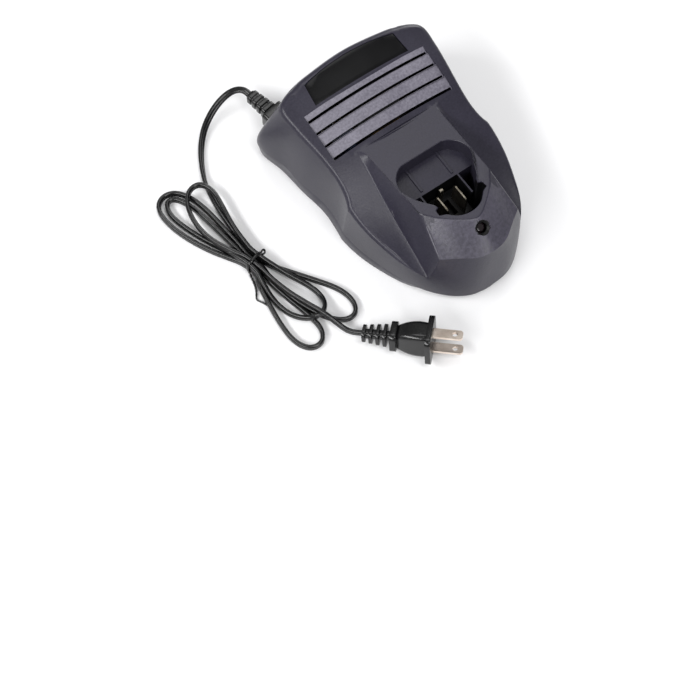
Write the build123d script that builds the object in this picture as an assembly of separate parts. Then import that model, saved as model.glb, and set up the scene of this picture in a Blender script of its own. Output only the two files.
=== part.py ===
"""Battery charger: a moulded two-part housing with a keyed battery pocket and a mains lead.

Frame: millimetres, +Z up, nose of the charger towards -Y, origin on the standing plane
under the middle of the housing.
"""

from build123d import *
import math
import os

os.makedirs("parts", exist_ok=True)

# ------------------------------------------------------------------ general clearances
WALL = 2.5                   # housing wall
FIT = 0.3                    # clearance round a piece that slots into another
SEAT = 0.02                  # gap between faces that rest on each other

# ------------------------------------------------------------------ wall outlines
# right half of the wall outline from the nose to the rear, at the base, on the parting
# plane and at three heights above it; the crease between nose and flank is a sharp corner
CREASE = 6
BASE_HALF = [
    (0.0, -82.9), (10.4, -80.4), (21.6, -70.2), (34.8, -59.0), (44.4, -42.2), (51.0, -22.1), (52.9, -7.6),
    (51.7, 0.7), (51.0, 13.0), (53.6, 32.0), (56.1, 54.2), (58.4, 69.9), (51.8, 79.0), (26.0, 82.9), (0.0, 83.8),
]
PARTING_HALF = [
    (0.0, -84.0), (11.8, -82.9), (25.6, -74.6), (37.0, -60.3), (44.8, -42.3), (50.7, -22.0), (52.2, -8.2),
    (50.6, 0.7), (50.4, 13.0), (54.0, 31.8), (57.4, 53.4), (60.4, 69.0), (50.2, 75.4), (25.6, 79.1), (0.0, 80.1),
]
LOW_HALF = [
    (0.0, -81.7), (11.0, -80.6), (24.3, -72.9), (37.1, -60.4), (45.0, -42.3), (49.9, -22.0), (50.9, -9.2),
    (48.6, 0.7), (49.2, 13.0), (52.6, 31.6), (56.0, 52.0), (59.4, 66.5), (48.3, 71.2), (25.3, 75.6), (0.0, 76.9),
]
MIDDLE_HALF = [
    (0.0, -79.2), (9.7, -77.2), (21.3, -69.1), (35.4, -59.1), (44.6, -42.1), (49.5, -22.1), (50.4, -10.3),
    (47.1, 0.8), (47.5, 13.2), (50.3, 31.5), (53.4, 50.2), (53.8, 61.5), (45.8, 66.0), (24.7, 70.4), (0.0, 72.0),
]
TOP_HALF = [
    (0.0, -76.7), (9.0, -75.0), (19.4, -66.7), (33.4, -57.4), (43.2, -41.5), (48.5, -22.1), (51.0, -11.3),
    (43.9, 0.7), (44.4, 13.4), (47.2, 31.4), (48.6, 48.6), (47.3, 55.5), (42.8, 59.4), (24.1, 64.0), (0.0, 65.9),
]
UPPER_LEVELS = [(26.0, LOW_HALF), (44.0, MIDDLE_HALF), (66.0, TOP_HALF)]

# ------------------------------------------------------------------ roof and shoulders
ROOF_FRONT_Y = 12.4          # front end of the roof
ROOF_FRONT_Z = 52.2          # its height there, at the middle
ROOF_SLOPE = 12.0            # degrees, the roof climbs to the rear
SHOULDER_SLOPE = 19.9        # degrees, the shoulders fall to the nose
CROWN_R = 300.0              # crown of the roof across the charger
KNEE = 2.2                   # softness of the bend between crown and shoulder
SECTION_HALF = 75.0          # half width of the lofted sections
SECTION_PITCH = 28.0
SECTION_REAR = 98.0
# from the rear: half width of the crowned middle, fall outside it, share of the crown
SHOULDER_STATIONS = [
    (60.0, 0.0, 1.0),
    (60.0, 0.0, 1.0),
    (60.0, 0.0, 1.0),
    (60.0, 0.0, 1.0),
    (60.0, 0.0, 0.85),
    (33.0, -0.07, 0.74),
    (34.0, -0.10, 0.70),
    (35.0, -0.10, 0.70),
]

# ------------------------------------------------------------------ raised pocket block
DECK_Z = 51.8                # height of the pocket deck at y = 0
DECK_TILT = 0.0699           # the deck rises towards the nose
DECK_REAR = (25.8, 10.2)     # x, y of the rear corner of the deck
DECK_FRONT = (24.4, -41.15)  # x, y of the corner at the nose
FACET_REAR = (29.0, 12.4, 50.9)
FACET_FRONT = (33.6, -61.85, 24.0)
FACET_REACH = 1.6            # the facet runs on past the nose corner by this factor
FACET_DEPTH = 1.7            # and below the shoulder by this one
NOSE_EDGE = [(0.0, -62.2), (9.6, -57.4), (17.6, -50.6), (24.4, -41.6)]
NOSE_FOOT = [(0.0, -79.6), (11.0, -77.2), (20.4, -70.2), (26.9, -63.4)]
NOSE_FOOT_Z = 42.6
NOSE_LOFT_TOP = 60.0
NOSE_LOFT_LOW = 16.0

# ------------------------------------------------------------------ parting of the housing
PART_Z = 10.1                # parting plane at y = 0
PART_TILT = 0.045            # its rise to the rear
BASE_Z = 0.5                 # underside of the bottom cover
COVER_STEP = 0.35            # the bottom cover stands back by this much

# ------------------------------------------------------------------ louvres
LOUVRE_HALF = 42.2
LOUVRE_EDGES = [(45.3, 40.1), (39.9, 32.0), (31.8, 23.5), (23.3, 15.0)]
LOUVRE_DEPTH = 1.35
SLOT_WIDTH = 2.2             # open part behind each lip
SLOT_HALF = 41.6
SLOT_RIB_SINK = 3.0          # the ribs across the slots stay this far below the roof
SLOT_RIB_X = 13.6
SLOT_RIB = 1.6

# ------------------------------------------------------------------ rear label recess
LABEL_FRONT = (32.8, 46.9)
LABEL_REAR = (31.4, 60.4)
LABEL_BACK_Y = 63.6
LABEL_DEPTH = 0.9
LABEL_PLATE = 0.5

# ------------------------------------------------------------------ battery pocket
POCKET_BACK = -10.45
POCKET_SIDE = [(14.0, -10.45), (19.6, -13.6), (23.6, -20.2), (23.9, -25.0), (19.6, -35.1), (14.6, -41.8)]
POCKET_KEY = [(13.7, -44.2), (16.2, -45.4), (16.4, -48.8), (13.0, -50.2)]
POCKET_NOSE = [(9.3, -53.8), (4.4, -56.3), (0.0, -56.9)]
LINER = 2.0                  # wall of the pocket inside the housing
LINER_OUTLINE = [
    (15.2, -8.4), (21.4, -12.2), (25.8, -20.0), (25.9, -27.0), (21.8, -35.6), (19.0, -41.2),
    (18.4, -44.2), (18.6, -50.0), (13.8, -52.4), (9.8, -56.0), (4.8, -58.4), (1.0, -58.9),
]
LEDGE_FRONT = -28.35
LEDGE_Z_BACK = 43.2
LEDGE_Z_FRONT = 42.2
LEDGE_RIB_X = 10.7
LEDGE_RIB = 1.2
LEDGE_RIB_RISE = 0.9
LEDGE_RIB_FRONT = -26.3
WELL_FLOOR = 14.0
FIN_X = 13.1
FIN = 1.0
FIN_FRONT = -42.5

# ------------------------------------------------------------------ indicator
LED_Y = -67.75
LED_HOLE_R = 3.0
DIMPLE_R = 4.4
DIMPLE_DEPTH = 2.5
LENS_LENGTH = 4.0
LENS_SINK = 3.4
LED_R = 1.5
LAMP_Y = -64.8               # the lamp stands in front of the pocket liner
LED_COLUMN_R = 2.2

# ------------------------------------------------------------------ contacts
BLOCK_HALF = 11.7
BLOCK_BACK = -29.0
BLOCK_FRONT = -47.0
BLOCK_TOP = 30.0
CONTACT_X = 6.4
CONTACT_T = 0.9
CONTACT_L = 12.0
CONTACT_Y = -39.75
CONTACT_TOP = 44.2
CONTACT_ROOT = 18.0
SENSE_SIZE = (2.4, 2.0)
SENSE_Y = -30.8
SENSE_TOP = 40.5

# ------------------------------------------------------------------ circuit board and bosses
FLOOR = 2.5
BOARD_Z = 8.0
BOARD_T = 1.6
BOARD_HALF = 36.0
BOARD_REAR = 56.0
BOARD_FRONT = -32.0
BOARD_BOSSES = [(30.0, 50.0), (-30.0, 50.0), (30.0, -26.0), (-30.0, -26.0)]
BOARD_BOSS_R = 3.5
SCREW_R = 1.45
SCREW_HEAD_R = 2.8
SCREW_HEAD = 2.2
COVER_BOSSES = [(46.5, 57.0), (-46.5, 57.0), (33.0, -48.0), (-33.0, -48.0)]
COVER_BOSS_R = 4.6
COVER_BORE_TOP = 5.0
COVER_SCREW_LENGTH = 14.0
FEET = [(44.0, 44.0), (-44.0, 44.0), (22.0, -62.0), (-22.0, -62.0)]
FOOT_R = 5.0
FOOT_T = 2.0

# ------------------------------------------------------------------ cord and plug
RELIEF_POINT = (-41.0, 77.3, 13.6)
RELIEF_DIR = (-0.193, 0.981, 0.0)
RELIEF_HOLE = (9.2, 8.2)
RELIEF_FLANGE = (15.5, 12.0, 4.0)
RELIEF_LENGTH = 22.0
CORD_D = 4.0
HANK_HEIGHT = 10.0
CORD_EXIT = 5.8              # straight run after the strain relief
CORD_POINTS = [
    (-51.2, 108.4, 12.4),
    (-59.6, 108.6, 10.4),
    (-69.5, 105.6, 7.4),
    (-79.0, 100.0, 4.4),
    (-87.6, 90.6, 2.6),
    (-94.6, 78.6, 2.1),
    (-100.2, 66.6, 2.1),
    (-103.5, 57.0, 2.1),
]
HANK_OUTLINE = [
    (-131.5, 58.0), (-129.5, 70.5), (-121.0, 75.5), (-110.0, 71.5), (-100.0, 64.0), (-98.0, 48.0),
    (-99.6, 28.0), (-98.9, 11.0), (-90.0, -5.0), (-77.0, -24.0), (-69.8, -41.0), (-74.5, -51.5),
    (-89.5, -50.0), (-103.0, -56.5), (-113.0, -50.0), (-114.5, -33.0), (-111.0, -13.0), (-109.3, 5.0),
    (-118.5, 22.0), (-127.8, 40.0),
]
TIE_POINT = (-104.1, 7.8)
TIE_DIR = (0.29, -0.957)
TIE_INNER = (10.6, 9.0)
TIE_T = 0.5
TIE_W = 1.6
TIE_TAIL = [(-109.6, -2.0, 2.0), (-111.6, -7.0, 1.2), (-115.0, -11.5, 0.9), (-112.8, -18.0, 0.9)]
PLUG_FACE = (-50.8, -94.2)
PLUG_DIR = (0.71, -0.704, 0.14)
PLUG_ROLL = -15.0
PLUG_PLATE = (23.0, 21.0, 3.2)
PLUG_CORNER = 4.0
PLUG_BODY = [(13.6, 17.6, -3.2), (13.8, 17.4, -12.0), (10.0, 11.0, -20.5)]
PLUG_COLLAR = (14.6, 14.0, 3.6)
PLUG_RIB = (11.6, 10.6, 1.9)
PLUG_RIB_PITCH = 4.1
PLUG_RIBS = 4
PLUG_CORE = (5.6, 5.0)
BLADE_T = 1.5
BLADE_W = 6.35
BLADE_L = 17.0
BLADE_GAP = 12.7


# ================================================================== helpers
def largest(shape):
    """The one solid of a boolean result, or the largest of several."""
    if isinstance(shape, Solid):
        return shape
    found = shape if isinstance(shape, (list, ShapeList)) else shape.solids()
    return max(found, key=lambda s: s.volume)


def box_between(low, high):
    size = [b - a for a, b in zip(low, high)]
    mid = [(a + b) / 2 for a, b in zip(low, high)]
    return Pos(*mid) * Box(*size)


def rod(x, y, z0, z1, r):
    return Pos(x, y, (z0 + z1) / 2) * Cylinder(r, z1 - z0)


def flip(v):
    return Vector(-v.X, v.Y, v.Z)


def polygon(points, z=0.0):
    pts = [p if isinstance(p, Vector) else Vector(*p) if len(p) == 3 else Vector(*p, z) for p in points]
    edges = [Edge.make_line(pts[i], pts[(i + 1) % len(pts)]) for i in range(len(pts))]
    return Wire(edges)


def yz_prism(points, x0, x1):
    """Prism of a y, z polygon between two x."""
    wire = polygon([(x0, y, z) for y, z in points])
    return extrude(Face(wire), amount=x1 - x0, dir=(1, 0, 0))


# ================================================================== housing forms
def inset(points, d):
    """Half outline moved inward by d along its own normals."""
    moved = []
    last = len(points) - 1
    for i, p in enumerate(points):
        a = Vector(*points[max(i - 1, 0)])
        b = Vector(*points[min(i + 1, last)])
        if p[0] == 0:
            n = Vector(0, 1 if p[1] < 0 else -1, 0)
        else:
            t = (b - a).normalized()
            n = Vector(-t.Y, t.X, 0)
        moved.append(Vector(*p) + n * d)
    return moved


def half_wire(points, d, height):
    """Closed outline from a half outline, inset by d, with a corner at each crease."""
    nose = inset([(x, y, 0.0) for x, y in points[:CREASE + 1]], d)
    flank = inset([(x, y, 0.0) for x, y in points[CREASE:]], d)
    crease = (nose[-1] + flank[0]) * 0.5
    nose[-1] = crease
    flank[0] = crease
    nose = [Vector(v.X, v.Y, height(v)) for v in nose]
    flank = [Vector(v.X, v.Y, height(v)) for v in flank]
    front = Spline([flip(v) for v in nose[:0:-1]] + nose)
    rear = Spline(flank + [flip(v) for v in flank[-2::-1]])
    return Wire([front, rear])


def part_height(y):
    return PART_Z + PART_TILT * y


def level_outline(half, z, d):
    return half_wire(half, d, lambda v: z)


def parting_outline(d, lift=0.0):
    """Outline on the parting plane, or on one moved up by lift."""
    return half_wire(PARTING_HALF, d, lambda v: part_height(v.Y) + lift)


def upper_walls(d, lift=0.0):
    """Walls of the upper moulding from the parting plane up, as one solid."""
    rings = [parting_outline(d, lift)] + [level_outline(half, z, d) for z, half in UPPER_LEVELS]
    return Solid.make_loft(rings, False)


def lower_walls(d, low=BASE_Z, lift=0.0):
    """Walls of the bottom cover from its underside to the parting plane."""
    return Solid.make_loft([level_outline(BASE_HALF, low, d), parting_outline(d, lift)], True)


def roof_height(y):
    """Height of the roof at the middle, and of the shoulder line in front of it."""
    slope = ROOF_SLOPE if y >= ROOF_FRONT_Y else SHOULDER_SLOPE
    return ROOF_FRONT_Z + (y - ROOF_FRONT_Y) * math.tan(math.radians(slope))


def roof_section(i, d):
    half, fall, crown = SHOULDER_STATIONS[i]
    y = SECTION_REAR - i * SECTION_PITCH
    z_mid = roof_height(y) - d
    right = []
    for x in (SECTION_HALF, 62.0, 52.0, 44.0, 36.0, 24.0, 12.0, 0.0):
        bend = KNEE * math.log1p(math.exp((x - half) / KNEE))
        right.append((x, z_mid - crown * min(x, half) ** 2 / (2 * CROWN_R) - fall * bend))
    points = right + [(-x, z) for x, z in right[-2::-1]]
    top = Spline([(x, y, z) for x, z in points])
    edge_z = right[0][1]
    low = -30.0
    side_a = Edge.make_line((-SECTION_HALF, y, edge_z), (-SECTION_HALF, y, low))
    base = Edge.make_line((-SECTION_HALF, y, low), (SECTION_HALF, y, low))
    side_b = Edge.make_line((SECTION_HALF, y, low), (SECTION_HALF, y, edge_z))
    return Wire([top, side_a, base, side_b])


def roof_body(d):
    return Solid.make_loft([roof_section(i, d) for i in range(len(SHOULDER_STATIONS))], False)


def deck_z(y):
    return DECK_Z - DECK_TILT * y


def facet_body(d):
    """Raised block between the two twisted facets, under the deck."""
    q1 = Vector(*DECK_REAR, deck_z(DECK_REAR[1]))
    q2 = Vector(*DECK_FRONT, deck_z(DECK_FRONT[1]))
    p1 = Vector(*FACET_REAR)
    p2 = Vector(*FACET_FRONT)
    q2 = q1 + (q2 - q1) * FACET_REACH
    p2 = p1 + (p2 - p1) * FACET_REACH
    low1 = q1 + (p1 - q1) * FACET_DEPTH
    low2 = q2 + (p2 - q2) * FACET_DEPTH
    move = Vector(-0.75 * d, 0, -d)
    q1, q2, low1, low2 = [v + move for v in (q1, q2, low1, low2)]
    top = polygon([q1, q2, flip(q2), flip(q1)])
    bottom = polygon([low1, low2, flip(low2), flip(low1)])
    return Solid.make_loft([top, bottom], True)


def nose_ring(points):
    """Closed ring whose front is the nose curve and whose back lies behind the charger."""
    end = points[-1]
    out = end + (end - points[-2]).normalized() * 60
    back = Vector(out.X, 120, out.Z)
    curve = Spline([flip(v) for v in points[:0:-1]] + points)
    lines = [(end, out), (out, back), (back, flip(back)), (flip(back), flip(out)), (flip(out), flip(end))]
    return Wire([curve] + [Edge.make_line(a, b) for a, b in lines])


def nose_body(d):
    upper = [Vector(x, y, deck_z(y) - 1.25 * d) for x, y in NOSE_EDGE]
    lower = [Vector(x, y, NOSE_FOOT_Z - 1.25 * d) for x, y in NOSE_FOOT]
    top = [u + (w - u) * ((u.Z - NOSE_LOFT_TOP) / (u.Z - w.Z)) for u, w in zip(upper, lower)]
    low = [u + (w - u) * ((u.Z - NOSE_LOFT_LOW) / (u.Z - w.Z)) for u, w in zip(upper, lower)]
    return Solid.make_loft([nose_ring(top), nose_ring(low)], True)


def housing_form(d, lift):
    """Form of the upper moulding inset by d, from the parting plane moved by lift."""
    block = largest(facet_body(d) & nose_body(d))
    top = largest(roof_body(d) + block)
    return largest(top & upper_walls(d, lift))


# ------------------------------------------------------------------ pocket forms
DECK_NORMAL = Vector(0, DECK_TILT, 1).normalized()


def pocket_wire():
    """Outline of the pocket on the deck."""
    half = POCKET_SIDE + POCKET_KEY + POCKET_NOSE
    pts = [Vector(x, y, deck_z(y)) for x, y in half]
    n = len(POCKET_SIDE)
    m = n + len(POCKET_KEY)
    side = Spline(pts[:n])
    key = [Edge.make_line(pts[i], pts[i + 1]) for i in range(n - 1, m)]
    nose = Spline(pts[m:] + [flip(v) for v in pts[-2:m - 1:-1]])
    side_l = Spline([flip(v) for v in pts[:n]])
    key_l = [Edge.make_line(flip(pts[i]), flip(pts[i + 1])) for i in range(n - 1, m)]
    back = Edge.make_line(flip(pts[0]), pts[0])
    return Wire([back, side] + key + [nose] + key_l[::-1] + [side_l])


def liner_wire():
    """Straight sided outline round the pocket, outside the liner wall."""
    pts = [Vector(x, y, deck_z(y)) for x, y in LINER_OUTLINE]
    return polygon(pts + [flip(v) for v in pts[::-1]])


def deck_prism(wire, up, down):
    face = Face(wire)
    top = extrude(face, amount=up, dir=DECK_NORMAL)
    low = extrude(face, amount=down, dir=-DECK_NORMAL)
    return largest(top + low)


def pocket_void():
    """Space of the pocket: a shallow rear part over the ledge and a deep well in front."""
    void = deck_prism(pocket_wire(), 8.0, 60.0)
    void = void - box_between((-60, -80, -40), (60, 20, WELL_FLOOR))
    back = POCKET_BACK + 6.0
    slope = (LEDGE_Z_BACK - LEDGE_Z_FRONT) / (POCKET_BACK - LEDGE_FRONT)
    z_back = LEDGE_Z_BACK + slope * (back - POCKET_BACK)
    ledge = [(back, z_back), (LEDGE_FRONT, LEDGE_Z_FRONT), (LEDGE_FRONT, 0), (back, 0)]
    void = void - yz_prism(ledge, -40, 40)
    rib_front_z = LEDGE_Z_FRONT + slope * (LEDGE_RIB_FRONT - LEDGE_FRONT)
    rib = [(back, z_back + LEDGE_RIB_RISE), (LEDGE_RIB_FRONT, rib_front_z + LEDGE_RIB_RISE)]
    rib = rib + [(LEDGE_RIB_FRONT, 30), (back, 30)]
    for side in (-1, 1):
        x0 = side * LEDGE_RIB_X - LEDGE_RIB / 2
        void = void - yz_prism(rib, x0, x0 + LEDGE_RIB)
        x0 = side * FIN_X - FIN / 2
        void = void - box_between((x0, FIN_FRONT, 0), (x0 + FIN, LEDGE_FRONT + 1, LEDGE_Z_FRONT))
    return largest(void)


def liner_keep():
    """Material round the pocket that stays inside the housing."""
    keep = deck_prism(liner_wire(), 4.0, 60.0)
    keep = keep - box_between((-60, -90, -40), (60, 20, WELL_FLOOR - LINER))
    back = POCKET_BACK + 12.0
    under = [(back, LEDGE_Z_BACK - LINER), (LEDGE_FRONT + LINER, LEDGE_Z_FRONT - LINER)]
    under = under + [(LEDGE_FRONT + LINER, 0), (back, 0)]
    return largest(keep - yz_prism(under, -60, 60))


# ================================================================== housing
outer = housing_form(0.0, SEAT)
cavity = housing_form(WALL, -4.0)

# inner space, kept clear of the pocket liner and the screw bosses
space = largest(cavity - liner_keep())
for bx, by in COVER_BOSSES:
    space = largest(space - rod(bx, by, part_height(by), 90, COVER_BOSS_R))

upper = largest(outer - space)
upper = largest(upper - pocket_void())

# floor opening of the well for the contact block
block_low = (-BLOCK_HALF - FIT, BLOCK_FRONT - FIT, WELL_FLOOR - 10)
block_high = (BLOCK_HALF + FIT, BLOCK_BACK + FIT, WELL_FLOOR + 1)
upper = largest(upper - box_between(block_low, block_high))

# rear wall of the deck: everything above the deck between the facets goes
deck_cut = polygon([
    (DECK_REAR[0], ROOF_FRONT_Y - 0.6, deck_z(ROOF_FRONT_Y - 0.6)),
    (DECK_FRONT[0] - 0.4, -36.0, deck_z(-36.0)),
    (-DECK_FRONT[0] + 0.4, -36.0, deck_z(-36.0)),
    (-DECK_REAR[0], ROOF_FRONT_Y - 0.6, deck_z(ROOF_FRONT_Y - 0.6)),
])
upper = largest(upper - extrude(Face(deck_cut), amount=9, dir=DECK_NORMAL))

# rear label recess and its bare plate
def label_prism(shrink):
    a = (LABEL_FRONT[0] - shrink, LABEL_FRONT[1] + shrink, 40)
    b = (LABEL_REAR[0] - shrink, LABEL_REAR[1] - shrink, 40)
    arc = ThreePointArc(b, (0, LABEL_BACK_Y - shrink, 40), (-b[0], b[1], 40))
    lines = [(a, b), ((-b[0], b[1], 40), (-a[0], a[1], 40)), ((-a[0], a[1], 40), a)]
    wire = Wire([Edge.make_line(*lines[0]), arc, Edge.make_line(*lines[1]), Edge.make_line(*lines[2])])
    return extrude(Face(wire), amount=40, dir=(0, 0, 1))


label_floor = roof_body(LABEL_DEPTH)
upper = largest(upper - largest(label_prism(0.0) - label_floor))
label_plate = largest((label_prism(0.2) & roof_body(LABEL_DEPTH - LABEL_PLATE)) - label_floor)


# louvres: strips that dip forward, with a slot under each next lip
def louvre_cut(rear, front):
    dip = math.atan(LOUVRE_DEPTH / (rear - front))
    tilt = math.radians(ROOF_SLOPE) + dip
    z_rear = roof_height(rear)
    axis = Vector(0, math.cos(tilt), math.sin(tilt))
    centre = Vector(0, rear, z_rear) + Vector(0, math.sin(tilt), -math.cos(tilt)) * CROWN_R
    plane = Plane(origin=centre - axis * 60, x_dir=(1, 0, 0), z_dir=axis)
    core = plane * Cylinder(CROWN_R, 120, align=(Align.CENTER, Align.CENTER, Align.MIN))
    block = box_between((-LOUVRE_HALF, front, z_rear - 9), (LOUVRE_HALF, rear, z_rear + 6))
    return largest(block - core)


for rear, front in LOUVRE_EDGES:
    upper = largest(upper - louvre_cut(rear, front))
    z = roof_height(front)
    spans = [(-SLOT_HALF, -SLOT_RIB_X - SLOT_RIB / 2), (-SLOT_RIB_X + SLOT_RIB / 2, SLOT_RIB_X - SLOT_RIB / 2)]
    spans = spans + [(SLOT_RIB_X + SLOT_RIB / 2, SLOT_HALF)]
    for x0, x1 in spans:
        upper = largest(upper - box_between((x0, front, z - 12), (x1, front + SLOT_WIDTH, z)))
    trough = box_between((-SLOT_HALF, front, z - SLOT_RIB_SINK), (SLOT_HALF, front + SLOT_WIDTH, z + 2.0))
    upper = largest(upper - trough)

# indicator: dimple and hole square to the nose
nose_top = Vector(0, NOSE_EDGE[0][1], deck_z(NOSE_EDGE[0][1]))
nose_low = Vector(0, NOSE_FOOT[0][1], NOSE_FOOT_Z)
nose_dir = (nose_low - nose_top).normalized()
led_normal = Vector(0, nose_dir.Z, -nose_dir.Y)
led_point = nose_top + nose_dir * ((LED_Y - nose_top.Y) / nose_dir.Y)
dimple_ball = (DIMPLE_R ** 2 + DIMPLE_DEPTH ** 2) / (2 * DIMPLE_DEPTH)
ball_at = led_point + led_normal * (dimple_ball - DIMPLE_DEPTH)
upper = largest(upper - Pos(*ball_at) * Sphere(dimple_ball))
led_plane = Plane(origin=led_point - led_normal * 14, x_dir=(1, 0, 0), z_dir=led_normal)
led_bore = led_plane * Cylinder(LED_HOLE_R, 20, align=(Align.CENTER, Align.CENTER, Align.MIN))
upper = largest(upper - led_bore)

# strain relief hole and its frame
relief_dir = Vector(*RELIEF_DIR).normalized()
relief_plane = Plane(origin=RELIEF_POINT, x_dir=(relief_dir.Y, -relief_dir.X, 0), z_dir=relief_dir)
relief_hole = relief_plane * Box(RELIEF_HOLE[0], RELIEF_HOLE[1], 14)
upper = largest(upper - relief_hole)

# screw pilot holes in the upper bosses
for bx, by in COVER_BOSSES:
    upper = largest(upper - rod(bx, by, 0, COVER_BORE_TOP + COVER_SCREW_LENGTH + 1, SCREW_R + 0.05))

# ------------------------------------------------------------------ bottom cover
floor_z = BASE_Z + FLOOR
cover = lower_walls(COVER_STEP)
inside = lower_walls(COVER_STEP + WALL, lift=6.0)
inside = largest(inside - box_between((-90, -120, -10), (90, 120, floor_z)))
for bx, by in COVER_BOSSES:
    inside = largest(inside - rod(bx, by, 0, 40, COVER_BOSS_R))
for bx, by in BOARD_BOSSES:
    inside = largest(inside - rod(bx, by, 0, BOARD_Z - SEAT, BOARD_BOSS_R))
cover = largest(cover - inside)
for bx, by in COVER_BOSSES:
    cover = cover - rod(bx, by, -5, COVER_BORE_TOP, SCREW_HEAD_R + 0.4)
    cover = cover - rod(bx, by, -5, 40, SCREW_R + 0.15)
for bx, by in BOARD_BOSSES:
    cover = cover - rod(bx, by, BASE_Z + 1.2, 20, SCREW_R + 0.05)
for fx, fy in FEET:
    cover = cover - rod(fx, fy, -5, FOOT_T, FOOT_R + 0.1)
cover = largest(cover - relief_hole)

feet = [rod(fx, fy, 0, FOOT_T - SEAT, FOOT_R) for fx, fy in FEET]
feet = [f.fillet(0.5, f.edges().group_by(Axis.Z)[0]) for f in feet]

# ================================================================== screws
def screw(x, y, head_z, length, up):
    """Pan head screw; head_z is the face under the head, up tells where the shank points."""
    s = 1 if up else -1
    head_low, head_high = (head_z - SCREW_HEAD, head_z) if up else (head_z, head_z + SCREW_HEAD)
    head = rod(x, y, head_low, head_high, SCREW_HEAD_R)
    outer_face = head.faces().sort_by(Axis.Z)[0 if up else -1]
    head = head.fillet(0.8, outer_face.edges())
    z0, z1 = (head_z, head_z + length) if up else (head_z - length, head_z)
    body = head + rod(x, y, z0, z1, SCREW_R)
    cross_z = head_low if up else head_high
    for size in ((3.2, 0.8, 1.8), (0.8, 3.2, 1.8)):
        body = body - Pos(x, y, cross_z) * Box(*size)
    return largest(body)


cover_screws = [screw(x, y, COVER_BORE_TOP - SEAT, COVER_SCREW_LENGTH, True) for x, y in COVER_BOSSES]
board_top = BOARD_Z + BOARD_T
board_screws = [screw(x, y, board_top + SEAT, 6.5, False) for x, y in BOARD_BOSSES]

# ================================================================== circuit board
board_right = [(BOARD_HALF, BOARD_REAR), (BOARD_HALF, BOARD_FRONT), (24.0, -46.0), (15.0, -52.0), (9.0, -55.0), (9.0, -69.0)]
board_points = board_right + [(-x, y) for x, y in board_right[::-1]]
board = extrude(Face(polygon(board_points, BOARD_Z)), amount=BOARD_T, dir=(0, 0, 1))
for bx, by in BOARD_BOSSES:
    board = board - rod(bx, by, 0, 20, SCREW_R + 0.15)
board = largest(board)
deck = board_top + SEAT      # height on which the components stand

# contact block with its three contacts
contact_block = box_between((-BLOCK_HALF, BLOCK_FRONT, deck), (BLOCK_HALF, BLOCK_BACK, BLOCK_TOP))
contact_block = contact_block - box_between((-3.4, BLOCK_FRONT + 3, BLOCK_TOP - 6), (3.4, SENSE_Y - 3, BLOCK_TOP + 1))
blades = []
for side in (-1, 1):
    x = side * CONTACT_X
    y0, y1 = CONTACT_Y - CONTACT_L / 2, CONTACT_Y + CONTACT_L / 2
    blade = box_between((x - CONTACT_T / 2, y0, CONTACT_ROOT), (x + CONTACT_T / 2, y1, CONTACT_TOP))
    top_edges = blade.edges().filter_by(Axis.X).group_by(Axis.Z)[-1]
    blade = largest(blade.fillet(2.0, top_edges))
    g = 0.03
    slot = box_between((x - CONTACT_T / 2 - g, y0 - g, CONTACT_ROOT - g), (x + CONTACT_T / 2 + g, y1 + g, BLOCK_TOP + 1))
    contact_block = contact_block - slot
    blades.append(blade)
sx, sy = SENSE_SIZE
sense = box_between((-sx / 2, SENSE_Y - sy / 2, CONTACT_ROOT), (sx / 2, SENSE_Y + sy / 2, SENSE_TOP))
sense = largest(sense.chamfer(0.4, None, sense.edges().group_by(Axis.Z)[-1]))
g = 0.03
hole_low = (-sx / 2 - g, SENSE_Y - sy / 2 - g, CONTACT_ROOT - g)
hole_high = (sx / 2 + g, SENSE_Y + sy / 2 + g, BLOCK_TOP + 1)
contact_block = largest(contact_block - box_between(hole_low, hole_high))

# indicator lens, lamp and its column
lens_plane = Plane(origin=led_point - led_normal * (LENS_SINK + LENS_LENGTH), x_dir=(1, 0, 0), z_dir=led_normal)
lens = lens_plane * Cylinder(LED_HOLE_R - 0.05, LENS_LENGTH, align=(Align.CENTER, Align.CENTER, Align.MIN))
lens = largest(lens.fillet(1.2, [lens.edges().sort_by(lambda e: e.center().dot(led_normal))[-1]]))
lens_foot = led_point - led_normal * (LENS_SINK + LENS_LENGTH)
lamp_top = lens_foot.Z - LED_HOLE_R * abs(led_normal.Y) - 0.3
lamp_y = LAMP_Y
lamp = rod(0, lamp_y, lamp_top - 4.5, lamp_top, LED_R)
lamp = lamp.fillet(LED_R - 0.05, [lamp.edges().sort_by(Axis.Z)[-1]])
lamp = largest(lamp + rod(0, lamp_y, lamp_top - 5.3, lamp_top - 4.3, LED_R + 0.4))
column = rod(0, lamp_y, deck, lamp_top - 5.3 - SEAT, LED_COLUMN_R)
column = largest(column)

# power components, all standing on the board
TR_X, TR_Y = 2.0, 30.0
TR_W, TR_H, TR_D = 30.0, 26.0, 11.0
TR_LEG = 5.0
TR_LIFT = 3.0
core = box_between((TR_X - TR_W / 2, TR_Y - TR_D / 2, deck + TR_LIFT), (TR_X + TR_W / 2, TR_Y + TR_D / 2, deck + TR_LIFT + TR_H))
window = (TR_W - 4 * TR_LEG) / 2
for side in (-1, 1):
    xc = TR_X + side * (TR_LEG + window / 2)
    core = core - box_between(
        (xc - window / 2, TR_Y - TR_D, deck + TR_LIFT + TR_LEG),
        (xc + window / 2, TR_Y + TR_D, deck + TR_LIFT + TR_H - TR_LEG),
    )
core = largest(core)
WIND_D = 22.0
wz0 = deck + TR_LIFT + TR_LEG + 0.1
wz1 = deck + TR_LIFT + TR_H - TR_LEG - 0.1
wx = TR_LEG + window - 0.1
winding = box_between((TR_X - wx, TR_Y - WIND_D / 2, wz0), (TR_X + wx, TR_Y + WIND_D / 2, wz1))
winding = winding.fillet(2.5, winding.edges().filter_by(Axis.Z))
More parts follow.
